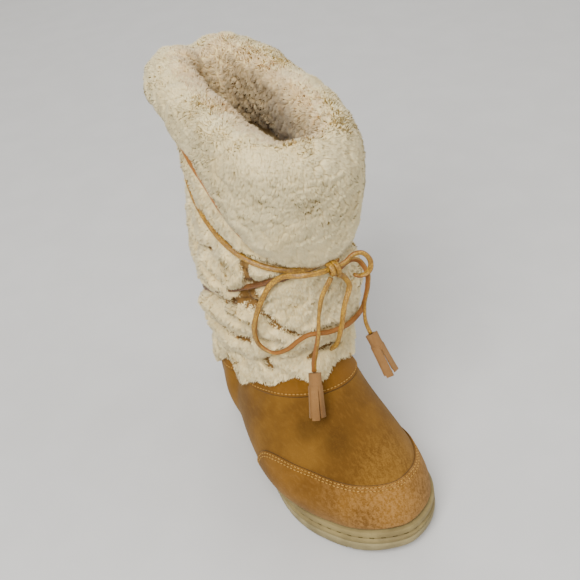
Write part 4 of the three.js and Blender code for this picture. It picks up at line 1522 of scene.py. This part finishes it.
@dataclass
class Pile:
    """Hairs of one stretch of sheepskin, each a slim leaf bent at its middle.

    Attributes:
        name: The piece's name.
        count: How many hairs.
        length: Their length, in millimetres.
        width: Their width.
        lean: How far they lean over along the nap, against standing up.
        clump: How far apart the tufts are, in millimetres.
        gather: How far the tips of a tuft draw together, from 0 to 1.
        seed: Which random numbers it uses.
    """

    name: str
    count: int
    length: float
    width: float
    lean: float
    clump: float
    gather: float
    seed: int

    def _tufts(self, roots: Array, rng: np.random.Generator) -> Array:
        """The nearest tuft of each root, as the number of the root at its middle."""
        area = max(len(roots) * 0.4, 1)
        middles = rng.choice(len(roots), max(int(area / self.clump**2), 8), replace=False)
        tree = KDTree(len(middles))
        for number, middle in enumerate(middles):
            tree.insert(roots[middle], number)
        tree.balance()
        return middles[[tree.find(root)[1] for root in roots]]

    def grow(self, face: Surface, weight: Array, nap: Callable[[Array, Array], Array],
             shade: Callable[[Array, Array], Array], stretch: Callable[[Array, Array], Array],
             material: bpy.types.Material) -> bpy.types.Object:
        """Grows the hairs on a surface.

        Args:
            face: The skin.
            weight: How likely each cell is, over its area.
            nap: The direction that the hairs lean in, from places and normals.
            shade: How dark a root's hairs are, from its column and row.
            stretch: The scale of their length, in the same way.
            material: Their finish.

        Returns:
            The piece.
        """
        rng = np.random.default_rng(self.seed)
        column, row = face.scatter(self.count, rng, weight)
        roots, normals = face.read(column, row)
        tuft = self._tufts(roots, rng)
        swirl = np.stack([lumps(roots[tuft], 11, self.seed + k) for k in range(3)], axis=1)
        wild = rng.normal(0, 1, roots.shape)
        lie = unit(normals + self.lean * (nap(roots, normals) + 0.32 * swirl) + 0.16 * wild)
        size = self.length * stretch(column, row) * rng.uniform(0.75, 1.2, self.count)
        towards = (roots[tuft] - roots) * self.gather
        middle = roots + (0.62 * normals + 0.38 * lie) * (0.5 * size)[:, None] + 0.35 * towards
        tips = roots + lie * size[:, None] + towards
        along = unit(tips - roots)
        side = unit(unit(np.cross(along, normals)) + 0.22 * wild)
        side = unit(side - along * np.sum(side * along, axis=1, keepdims=True))
        facing = np.sum(np.cross(side, along) * normals, axis=1, keepdims=True)
        side = np.where(facing < 0, -side, side) * (self.width / 2)
        spots = np.stack([roots - 0.6 * normals, middle - side, middle + side, tips], axis=1)
        base = 4 * np.arange(self.count)[:, None]
        faces = np.stack([base + [0, 2, 1], base + [1, 2, 3]], axis=1)
        piece = triangle_piece(self.name, spots.reshape(-1, 3), faces.reshape(-1, 3), material)
        ball = unit(tips - roots[tuft] - normals * (0.4 * self.length))
        soft = unit(normals + 0.35 * ball + 0.15 * along)
        piece.data.normals_split_custom_set_from_vertices(np.repeat(soft, 4, axis=0).tolist())
        tone = np.clip(shade(column, row) + 0.06 * wild[:, 0] + 0.12 * lumps(roots, 7, self.seed + 9), 0, 1)
        keep_number(piece, "tip", np.tile([0.0, 0.5, 0.5, 1.0], self.count))
        keep_number(piece, "shade", np.repeat(tone, 4))
        return piece


def keep_number(piece: bpy.types.Object, name: str, values: Array) -> None:
    """Keeps a number on each vertex of a piece."""
    layer = piece.data.attributes.get(name) or piece.data.attributes.new(name, "FLOAT", "POINT")
    layer.data.foreach_set("value", np.asarray(values, np.float32))


@dataclass
class Sheepskin:
    """The shaft with its slumped folds, and the turned-over cuff."""

    last: Last
    foot: SuedeFoot
    form: ShaftForm
    columns: int = 240
    shaft_rows: int = 96
    hem_rows: int = 14
    depth: float = 1.7
    turns: Array = field(init=False)

    def __post_init__(self) -> None:
        """Sets the columns, in degrees from the back over the outer side."""
        self.turns = np.arange(self.columns) * 360 / self.columns

    def _hem(self) -> Array:
        """How far the hem hangs down, at each column."""
        angle = np.radians(self.turns)
        waves = 3 * np.sin(7 * angle) + 2 * np.sin(11 * angle)
        return self.last.sizes.hem_overlap + waves + 5 * lumps(self.last.collar(self.turns), 10, 77)

    def _shaft_skin(self) -> tuple[Surface, Array]:
        """The shaft's skin under its pile, and how deep in a fold each place lies, which also sets its painted shade.
        """
        s = self.last.sizes
        hem = self._hem()
        place = self.last.place_of_turn(self.turns)
        length = self.foot._length(place)
        on_band = 2 * s.gap + s.overlay
        rows, deep, calm = [], [], []
        for share in np.linspace(0, 1, self.hem_rows, endpoint=False):
            down = hem * (1 - share) * 0.98
            full = np.interp(share, [0, 0.25, 0.6, 1], [0.12, 0.62, 0.9, 1.0])
            level = np.full(place.shape, -0.115 * (1 - share))
            crease = np.clip(self.form.creases(self.turns, level), -1.5, 6) * full
            out = on_band + (s.pile - self.depth) * full - crease
            spot, _ = self.foot._read(place, length - down, np.maximum(out, on_band + 0.8))
            rows.append(spot)
            # Painted shade: darker towards the hem's lower edge, and in the creases.
            deep.append(np.clip(0.25 * (1 - share) + 0.28 * crease, 0, 1.2))
            calm.append(np.ones(place.shape))
        for up in np.linspace(0.03, 1, self.shaft_rows):
            level = np.full(self.turns.shape, up)
            pressed = self.form.folds(self.turns, level, 0.8)
            open_fur = 1 - smooth_step(0, 0.06, level - self.form.up_of(self.turns, CUFF_BOTTOM.at(self.turns)))
            crease = self.form.creases(self.turns, level) * open_fur
            pile = self.form.pile(self.turns, level) - 5 * np.clip(pressed, 0, 1) - crease
            rows.append(self.form.point(self.turns, level, np.maximum(pile - self.depth, 1.0)))
            # Painted shade in the folds, the lace's troughs and the creases.
            deep.append(np.clip(0.75 * pressed / s.wrap_depth + 0.28 * crease, 0, 1.2))
            calm.append(open_fur)
        places = np.stack(rows, axis=1)
        join = self.hem_rows
        for _ in range(4):
            for row in range(join - 5, join + 6):
                places[:, row] = (places[:, row - 1] + 2 * places[:, row] + places[:, row + 1]) / 4
        plain = Surface(places)
        bulk = 1.8 * lumps(places, 17, 11) + 1.3 * lumps(places, 8.5, 12) + 0.9 * lumps(places, 4.5, 13)
        return plain.moved(bulk * np.stack(calm, axis=1)), np.stack(deep, axis=1)

    def _inner_wall(self, rows: int) -> Array:
        """The shaft's inner face, from its top down to the ankle."""
        s = self.last.sizes
        ups = np.linspace(1, 0.05, rows)
        face = [self.form.point(self.turns, np.full(self.turns.shape, up), np.zeros(self.columns)) for up in ups]
        place = self.last.place_of_turn(self.turns)
        length = self.foot._length(place)
        for down in (1.0, 0.5, 0.9):
            reach = length - (self._hem() * down if down < 1 else 1.5)
            spot, _ = self.foot._read(place, reach, np.full(place.shape, 2 * s.gap + s.overlay + 0.4))
            face.append(spot)
        return np.stack(face, axis=1)

    def _shaft(self, fleece: bpy.types.Material) -> None:
        """The shaft's skin and its pile."""
        skin, deep = self._shaft_skin()
        inner = self._inner_wall(18)
        loop = np.concatenate([skin.places, inner, skin.places[:, :1]], axis=1)
        inner_rows = inner.shape[1]
        tip = np.concatenate([np.full(deep.shape, 0.5), np.full((self.columns, inner_rows + 1), 0.4)], axis=1)
        dark = np.concatenate([deep, np.full((self.columns, inner_rows + 1), 0.6)], axis=1)
        mesh = bmesh.new()
        add_sheet(mesh, closed_loft(loop), {"tip": closed_loft(tip), "shade": closed_loft(dark)})
        place_in_boot(to_object(mesh, "shaft_skin", fleece), "sheepskin", "shaft")
        under = self.form.up_of(self.turns, CUFF_BOTTOM.at(self.turns) + 14)
        last_row = self.hem_rows + under * self.shaft_rows
        cells = np.arange(skin.places.shape[1] - 1)[None]
        shown = (cells < last_row[:, None]) * (1 - 0.4 * np.clip(1.25 * deep[:, :-1] - 0.25, 0, 1))
        halves = np.cos(np.radians(self.turns + 100))[:, None]

        def nap(roots: Array, normals: Array) -> Array:
            """The hairs hang down and fan out over the folds."""
            down = np.array([0.0, 0.0, -0.75])
            sway = np.stack([lumps(roots, 38, 21), lumps(roots, 38, 22), 0.5 * lumps(roots, 38, 23)], axis=1)
            return down + 0.6 * sway

        def shade(column: Array, row: Array) -> Array:
            """Dark in the folds."""
            i, k = column.astype(int) % self.columns, np.clip(row.astype(int), 0, deep.shape[1] - 1)
            return 0.9 * deep[i, k]

        def stretch(column: Array, row: Array) -> Array:
            """Longer at the hem, shorter in the folds."""
            i, k = column.astype(int) % self.columns, np.clip(row.astype(int), 0, deep.shape[1] - 1)
            return 1.0 + 0.3 * np.clip(1 - row / 10, 0, 1) - 0.62 * np.clip(deep[i, k], 0, 1)

        for name, half, seed in (("shaft_pile_outer", halves < 0, 31), ("shaft_pile_inner", halves >= 0, 32)):
            pile = Pile(name, 70000, 2.9, 0.85, 0.78, 3.6, 0.22, seed)
            piece = pile.grow(skin, shown * half, nap, shade, stretch, fleece)
            place_in_boot(piece, "sheepskin")

    def _cuff_section(self) -> Array:
        """The cuff's outer section, from its lower edge over the top and down inside."""
        s = self.last.sizes
        over = s.covered_pile - 1
        drop = smooth_step(108, 150, self.turns) * (1 - smooth_step(205, 240, self.turns))
        raised = smooth_step(12, 48, self.turns) * (1 - smooth_step(98, 122, self.turns))
        low = CUFF_BOTTOM.at(self.turns) - 10 * drop + 6 * raised
        rise = self.form.cuff_high(self.turns) - low
        inside = np.minimum(self.form.high(self.turns) - s.cuff_inside, low + rise * 0.6)
        stops = (
            (low + 5, over + 3.5),
            (low, over + s.cuff_pile * 0.6),
            (low + rise * 0.12, over + s.cuff_pile),
            (low + rise * 0.32, over + s.cuff_pile * 1.15),
            (low + rise * 0.55, over + s.cuff_pile * 1.12),
            (low + rise * 0.78, over + s.cuff_pile * 0.95),
            (low + rise * 0.92, over + s.cuff_pile * 0.6),
            (low + rise, over * 0.5 + s.cuff_pile * 0.1),
            (low + rise * 0.93, -s.cuff_lining * 0.7),
            (low + rise * 0.8, -s.cuff_lining),
            (blend(inside, low + rise * 0.8, 0.3), -s.cuff_lining * 1.05),
            (inside, -s.cuff_lining * 0.7),
        )
        knots = np.stack([self.form.cuff_point(self.turns, z, np.full(z.shape, out)) for z, out in stops], axis=1)
        share = np.linspace(0, 1, 100)
        return np.stack([curve_through(column, share, False) for column in knots])

    def _cuff(self, fleece: bpy.types.Material, lining: bpy.types.Material) -> None:
        """The cuff's skin, its pile outside and its lining."""
        s = self.last.sizes
        plain = Surface(self._cuff_section())
        rows = plain.places.shape[1]
        share = np.arange(rows) / (rows - 1)
        rooted = self.depth * np.interp(share, [0, 0.08, 0.9, 1], [0.4, 1, 1, 0.6])
        bulk = 1.8 * lumps(plain.places, 21, 41) + 1.1 * lumps(plain.places, 9, 42)
        bulk += 0.9 * lumps(plain.places, 4.5, 43)
        skin = plain.moved(bulk - rooted[None])
        top = 0.66
        inside = smooth_step(top - 0.04, top + 0.06, share)
        low = CUFF_BOTTOM.at(self.turns) + 4
        high = self.form.high(self.turns) + 2 * s.gap
        within = np.full(self.columns, -2 * s.gap)
        over = np.full(self.columns, s.covered_pile + s.gap)
        back = np.stack([
            self.form.cuff_point(self.turns, np.minimum(skin.places[:, -1, 2] + 3, high - 1), within),
            self.form.cuff_point(self.turns, high, within),
            self.form.cuff_point(self.turns, high, over),
            self.form.cuff_point(self.turns, blend(low, high, 0.5), over),
            self.form.cuff_point(self.turns, low, over),
        ], axis=1)
        loop = np.concatenate([skin.places, back, skin.places[:, :1]], axis=1)
        dark = np.concatenate([np.tile(0.35 * inside, (self.columns, 1)), np.full((self.columns, 6), 0.6)], axis=1)
        mesh = bmesh.new()
        add_sheet(mesh, closed_loft(loop), {"tip": np.full(closed_loft(dark).shape, 0.5), "shade": closed_loft(dark)})
        place_in_boot(to_object(mesh, "cuff_skin", fleece), "sheepskin", "cuff")
        cells = (np.arange(rows - 1) + 0.5) / (rows - 1)
        outside = np.tile((cells < top + 0.03).astype(float), (self.columns, 1))
        within = np.tile((cells >= top - 0.02).astype(float), (self.columns, 1))
        halves = np.cos(np.radians(self.turns + 100))[:, None]

        def nap(roots: Array, normals: Array) -> Array:
            """The hairs hang down outside and lie in over the edge."""
            down = np.array([0.0, 0.0, -0.55])
            sway = np.stack([lumps(roots, 45, 51), lumps(roots, 45, 52), 0.6 * lumps(roots, 45, 53)], axis=1)
            return down + 0.7 * sway

        def shade(column: Array, row: Array) -> Array:
            """Darker near the lower edge."""
            return 0.35 * np.clip(1 - row / 9, 0, 1) + 0.04

        def inner_shade(column: Array, row: Array) -> Array:
            """Darker the further down inside."""
            return np.clip((row / (rows - 1) - 0.74) * 2.2, 0, 0.8)

        def stretch(column: Array, row: Array) -> Array:
            """Longer along the lower edge, where it hangs as a fringe."""
            return 1.0 + 1.0 * np.clip(1 - row / 8, 0, 1)

        for name, half, seed in (("cuff_pile_outer", halves < 0, 61), ("cuff_pile_inner", halves >= 0, 62)):
            pile = Pile(name, 70000, 3.1, 0.85, 0.72, 3.8, 0.22, seed)
            place_in_boot(pile.grow(skin, outside * half, nap, shade, stretch, fleece), "sheepskin")
        curls = Pile("cuff_lining_pile", 46000, 3.6, 0.8, 0.7, 4.0, 0.45, 63)
        even = lambda column, row: np.ones(column.shape)
        place_in_boot(curls.grow(skin, within, nap, inner_shade, even, lining), "sheepskin")

    def build(self) -> None:
        """Makes the sheepskin's pieces."""
        fleece, lining = FLEECE.material(), LINING.material()
        self._shaft(fleece)
        self._cuff(fleece, lining)


@dataclass(frozen=True)
class CordRoute:
    """A stretch of the lace that hangs free: its points from the knot, in metres, and what it ends in."""

    name: str
    points: tuple
    far_end: str
    lay: str
    twist: float
    side: float
    with_knot: bool = False
    tassel: str = ""


# Routes of the bow and its ends, from the middle of the knot: right, back and up, in metres.
ROUTES = (
    CordRoute("left_loop", (
        (-0.0045, 0, 0), (-0.016, -0.0005, 0.002), (-0.026, 0.003, 0.0025), (-0.036, 0.0125, 0.0005),
        (-0.044, 0.021, -0.009), (-0.051, 0.0245, -0.022), (-0.0555, 0.029, -0.037), (-0.058, 0.0325, -0.055),
        (-0.0545, 0.034, -0.072), (-0.0475, 0.0265, -0.078), (-0.039, 0.018, -0.073), (-0.0315, 0.011, -0.063),
        (-0.024, 0.006, -0.057), (-0.015, 0.0035, -0.058), (-0.0066, 0.004, -0.061), (0.009, 0.0065, -0.064),
        (0.022, 0.0135, -0.067), (0.035, 0.0235, -0.070), (0.045, 0.034, -0.071),
    ), far_end="object", lay="hanging", twist=150, side=200, with_knot=True),
    CordRoute("right_loop", (
        (0.0045, 0, 0), (0.010, -0.0005, 0.0015), (0.016, -0.0015, 0.006), (0.023, -0.0035, 0.006),
        (0.028, -0.006, -0.0015), (0.027, -0.0055, -0.011), (0.021, -0.003, -0.0145), (0.0155, -0.0035, -0.011),
    ), far_end="object", lay="hanging", twist=90, side=190),
    CordRoute("short_end", (
        (0.0032, 0.0005, -0.0076), (0.008, 0.002, -0.012), (0.013, 0.002, -0.023), (0.006, -0.0005, -0.038),
        (0.0005, -0.0015, -0.059), (-0.002, 0.003, -0.075), (-0.0025, 0.012, -0.086),
    ), far_end="bare", lay="hanging", twist=120, side=150),
    CordRoute("first_cord", (
        (-0.0032, 0, -0.0076), (-0.013, -0.001, -0.021), (-0.017, -0.0015, -0.035), (-0.0205, -0.0025, -0.055),
        (-0.0225, 0.001, -0.073), (-0.0225, 0.006, -0.088), (-0.0225, 0.007, -0.096),
    ), far_end="fitting", lay="hanging", twist=-160, side=240, tassel="first_tassel"),
    CordRoute("second_cord", (
        (0.0069, 0.0021, -0.0036), (0.013, 0.0055, -0.0045), (0.021, 0.007, -0.005), (0.0265, 0.006, -0.009),
        (0.029, 0.001, -0.018), (0.0295, 0.003, -0.033), (0.029, 0.008, -0.051), (0.030, 0.010, -0.072),
        (0.032, 0.007, -0.083),
    ), far_end="fitting", lay="hanging", twist=140, side=30, tassel="second_tassel"),
)
TASSEL_LEANS = {"first_tassel": (-10.5, -18, -30), "second_tassel": (5, -23, -33)}


@dataclass
class Lacing:
    """The thong: its runs round the shaft, the bow, and the two tassels."""

    form: ShaftForm
    around: int = 12

    def _strand(self, name: str, line: Array, outward: Array, width: float, thick: float, twist: float,
                side: float, material: bpy.types.Material, closed: bool) -> bpy.types.Object:
        """A flat round-edged strand along a line.

        Args:
            name: The object's name.
            line: The places it follows, in millimetres.
            outward: Directions that its flat side faces before it is twisted.
            width: Its width.
            thick: Its thickness.
            twist: How far it turns from end to end, in degrees.
            side: Where its flesh side starts, in degrees.
            material: Its finish.
            closed: Whether it runs back to its start.

        Returns:
            The object.
        """
        if closed:
            ahead = unit(np.roll(line, -1, axis=0) - np.roll(line, 1, axis=0))
        else:
            ahead = unit(np.gradient(line, axis=0))
        first = unit(outward - ahead * np.sum(outward * ahead, axis=1, keepdims=True))
        second = np.cross(ahead, first)
        share = np.linspace(0, 1, len(line))[:, None]
        turn = np.radians(twist * share + 8 * np.sin(9 * share))
        flat = first * np.cos(turn) + second * np.sin(turn)
        broad = second * np.cos(turn) - first * np.sin(turn)
        angle = np.arange(self.around + 1) * 2 * math.pi / self.around
        wobble = 1 + 0.07 * lumps(line, 6, 71)[:, None] + 0.04 * lumps(line, 2.5, 72)[:, None]
        across = np.sign(np.cos(angle)) * np.abs(np.cos(angle)) ** 0.8 * width / 2
        proud = np.sin(angle) * thick / 2
        proud = np.where(proud > 0, proud * (1 - 0.35 * np.exp(-((across / 0.7) ** 2))), proud)
        places = (line[None] + across[:, None, None] * (broad * wobble)[None]
                  + proud[:, None, None] * (flat * wobble)[None])
        flesh = 0.5 + 0.5 * np.sin(angle + np.radians(side))
        table = np.broadcast_to(flesh[:, None], places.shape[:2])
        if closed:
            places = np.concatenate([places, places[:, :1]], axis=1)
            table = np.concatenate([table, table[:, :1]], axis=1)
        mesh = bmesh.new()
        add_sheet(mesh, places, {"flesh": table})
        return to_object(mesh, name, material)

    def _runs(self) -> None:
        """The three runs round the shaft, each in its trough."""
        s = self.form.sizes
        turn = np.arange(360.0)
        looks = {
            Run.UPPER: ("lace_run_upper", RUST_THONG, 200.0),
            Run.MIDDLE: ("lace_run_middle", GOLD_THONG, 20.0),
            Run.LOWER: ("lace_run_lower", BROWN_THONG, 20.0),
        }
        for run, (name, finish, side) in looks.items():
            up = WRAP_ROWS[run].at(turn)
            pile = self.form.pile(turn, up)
            line = self.form.point(turn, up, pile + s.lace_gap + s.lace_thickness / 2)
            outward = unit(self.form.point(turn, up, pile + 10) - line)
            strand = self._strand(name, line, outward, s.lace_width, 0.85 * s.lace_thickness, 360, side,
                                  finish.material(), closed=True)
            place_in_boot(strand, "lace_leather", "lace_wraps")

    def _knot(self, gold: bpy.types.Material) -> bpy.types.Object:
        """The turns of the knot."""
        s = self.form.sizes
        turn = np.linspace(0, s.knot_turns, 64)
        angle = 2 * math.pi * turn + 1
        across = (turn - s.knot_turns / 2) * (s.cord + 2 * s.gap)
        ring = np.stack([np.zeros(turn.shape), np.cos(angle), np.sin(angle)], axis=1)
        line = self.form.knot() + ring * s.knot_radius + np.column_stack([across, 0 * turn, 0 * turn])
        return self._strand("knot_turns", line, ring, s.cord * 1.06, s.cord * 0.86, 0, 200, gold, closed=False)

    def _cord(self, route: CordRoute, gold: bpy.types.Material, knot: bpy.types.Object) -> None:
        """One free stretch of the lace, with what hangs on it."""
        s = self.form.sizes
        start = self.form.knot()
        points = np.array(route.points) / MM + start
        share = np.linspace(0, 1, 12 * len(points))
        line = curve_through(points, share, False)
        outward = np.broadcast_to(np.array([0.0, -1.0, 0.15]), line.shape)
        cord = self._strand(route.name + "_thong", line, outward, s.cord * 1.08, s.cord * 0.8, route.twist,
                            route.side, gold, closed=False)
        place_in_boot(cord, "lace_leather", route.name)
        on_it = [knot] if route.with_knot else []
        if route.tassel:
            on_it.append(self._tassel(route.tassel, points))
        line[0] * MM
        (line * MM).tolist()

    def _tassel(self, name: str, points: Array) -> bpy.types.Object:
        """A tassel: suede rolled round the cord's end, its lower part slit into strips that spread."""
        s = self.form.sizes
        down = unit(np.array(TASSEL_LEANS[name], float))
        ahead = unit(points[-1] - points[-2])
        bend = math.acos(float(np.clip(ahead @ down, -1, 1)))
        top = points[-1] + down * (s.cord / 2 * math.sin(bend) + s.gap)
        head = s.tassel_length * 0.34
        turn = Vector((0, 0, -1)).rotation_difference(Vector(down)).to_matrix().to_4x4()
        mesh = bmesh.new()
        self._rolled_head(mesh, head)
        for number in range(5):
            self._strip(mesh, number, head)
        bmesh.ops.transform(mesh, matrix=Matrix.Translation(Vector(top * MM)) @ turn, verts=mesh.verts)
        piece = to_object(mesh, name + "_strips", TASSEL_SUEDE.material(), sharp=40)
        place_in_boot(piece, "tassel_suede", name)
        return piece

    def _rolled_head(self, mesh: bmesh.types.BMesh, head: float) -> None:
        """The rolled part of a tassel, with the suede's end showing as a spiral step."""
        s = self.form.sizes
        angle = np.linspace(0, 4 * math.pi, 60)
        radius = s.tassel_width * (0.24 + 0.2 * angle / angle[-1])
        rows = []
        for depth, inset in ((0, 0.3), (0.25, 0), (head * 0.5, 0.1), (head + 2, 0)):
            ring = np.stack([np.cos(angle) * (radius - inset), np.sin(angle) * (radius - inset), 0 * angle - depth], axis=1)
            rows.append(ring)
        outer = np.stack(rows, axis=1)
        inner = outer.copy()
        inner[..., :2] *= ((radius - s.overlay * 0.8) / radius)[:, None, None]
        loop = np.concatenate([outer, inner[:, ::-1], outer[:, :1]], axis=1)
        add_sheet(mesh, loop)

    def _strip(self, mesh: bmesh.types.BMesh, number: int, head: float) -> None:
        """One strip of a tassel, which curves out and a little aside."""
        s = self.form.sizes
        share = np.linspace(0, 1, 12)
        length = s.tassel_length - head + 1 + 1.6 * math.sin(4.7 * number)
        lift = (0.03 + 0.035 * (number % 2)) * length * share**1.6
        aside = 0.5 * math.sin(2.1 * number) * share**2
        half = s.tassel_width * 0.24
        angle = 2 * math.pi * number / 5 + 0.3
        outward = np.array([math.cos(angle), math.sin(angle), 0])
        along = np.array([-math.sin(angle), math.cos(angle), 0])
        radius = s.tassel_width * 0.365
        columns = []
        for across, out in ((-1, -0.5), (-1, 0.5), (-0.6, 0.62), (0.6, 0.62), (1, 0.5), (1, -0.5), (-1, -0.5)):
            width = half * (1 - 0.1 * (1 - share)) * across + aside
            reach = radius + lift + out * s.overlay * 0.85
            columns.append(outward * reach[:, None] + along * width[:, None]
                           - np.array([0, 0, 1.0]) * (head - 2 + length * share)[:, None])
        add_sheet(mesh, np.stack(columns))

    def build(self) -> None:
        """Makes the lace's pieces."""
        gold = GOLD_THONG.material()
        knot = self._knot(gold)
        place_in_boot(knot, "lace_leather", "bow_knot")
        for route in ROUTES:
            self._cord(route, gold, knot)
        self._runs()


@dataclass(frozen=True)
class Studio:
    """The camera, the soft lights and the pale floor.

    Attributes:
        eye: Where the camera stands, in metres.
        target: What it looks at.
        roll: How far it is rolled, in degrees.
        lens: Its focal length for a sensor of 36 mm.
    """

    eye: tuple[float, float, float] = (-0.2534, -0.6230, 0.6207)
    target: tuple[float, float, float] = (0.0116, -0.0448, 0.150)
    roll: float = -7.26
    lens: float = 55.86

    def camera(self) -> None:
        """Sets the camera."""
        data = bpy.data.cameras.new("camera")
        data.sensor_width = 36
        data.lens = self.lens
        data.clip_start, data.clip_end = 0.01, 50
        camera = bpy.data.objects.new("camera", data)
        forward = (Vector(self.target) - Vector(self.eye)).normalized()
        level = forward.cross(Vector((0, 0, 1))).normalized()
        upward = level.cross(forward)
        roll = math.radians(self.roll)
        right = level * math.cos(roll) + upward * math.sin(roll)
        axes = Matrix((right, right.cross(forward), -forward)).transposed()
        camera.matrix_world = Matrix.Translation(Vector(self.eye)) @ axes.to_4x4()
        bpy.context.scene.collection.objects.link(camera)
        bpy.context.scene.camera = camera

    def lights(self) -> None:
        """Sets the soft lights and the pale surround."""
        lamps = (
            ("key", (-1.0, -1.1, 1.8), 1.3, 76),
            ("fill", (1.5, -1.1, 1.0), 1.6, 13),
            ("back", (0.6, 1.5, 1.7), 1.2, 16),
        )
        for name, spot, size, power in lamps:
            data = bpy.data.lights.new(name, "AREA")
            data.size = size
            data.energy = power
            lamp = bpy.data.objects.new(name, data)
            aim = Vector((0, -0.06, 0.15)) - Vector(spot)
            lamp.location = spot
            lamp.rotation_mode = "QUATERNION"
            lamp.rotation_quaternion = aim.to_track_quat("-Z", "Y")
            bpy.context.scene.collection.objects.link(lamp)
        world = bpy.data.worlds.new("surround")
        world.use_nodes = True
        sky = world.node_tree.nodes["Background"]
        sky.inputs["Color"].default_value = (1.0, 0.985, 0.96, 1)
        sky.inputs["Strength"].default_value = 0.5
        bpy.context.scene.world = world

    def floor(self) -> None:
        """Lays the pale floor."""
        mesh = bmesh.new()
        bmesh.ops.create_grid(mesh, x_segments=2, y_segments=2, size=6)
        finish = PlainFinish("floor", body=(0.62, 0.61, 0.59), dark=(0.6, 0.59, 0.57), size=60, roughness=0.7)
        to_object(mesh, "floor", finish.material(), close=False)

    def build(self) -> None:
        """Sets the camera, the lights and the floor."""
        self.camera()
        self.lights()
        self.floor()


def dress_frame() -> None:
    """Gives the frame's nodes that stay their finish."""
    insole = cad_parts["insole"]
    insole.data.materials.clear()
    insole.data.materials.append(FELT.material())


def main() -> None:
    """Builds the boot's sub-assemblies in order."""
    logging.basicConfig(level=logging.INFO, format="%(name)s: %(message)s")
    last = Last()
    form = ShaftForm(last)
    Studio().build()
    Lacing(form).build()
    SoleUnit(last).build()
    foot = SuedeFoot(last)
    foot.build()
    Sheepskin(last, foot, form).build()
    dress_frame()


if __name__ == "__main__":
    main()
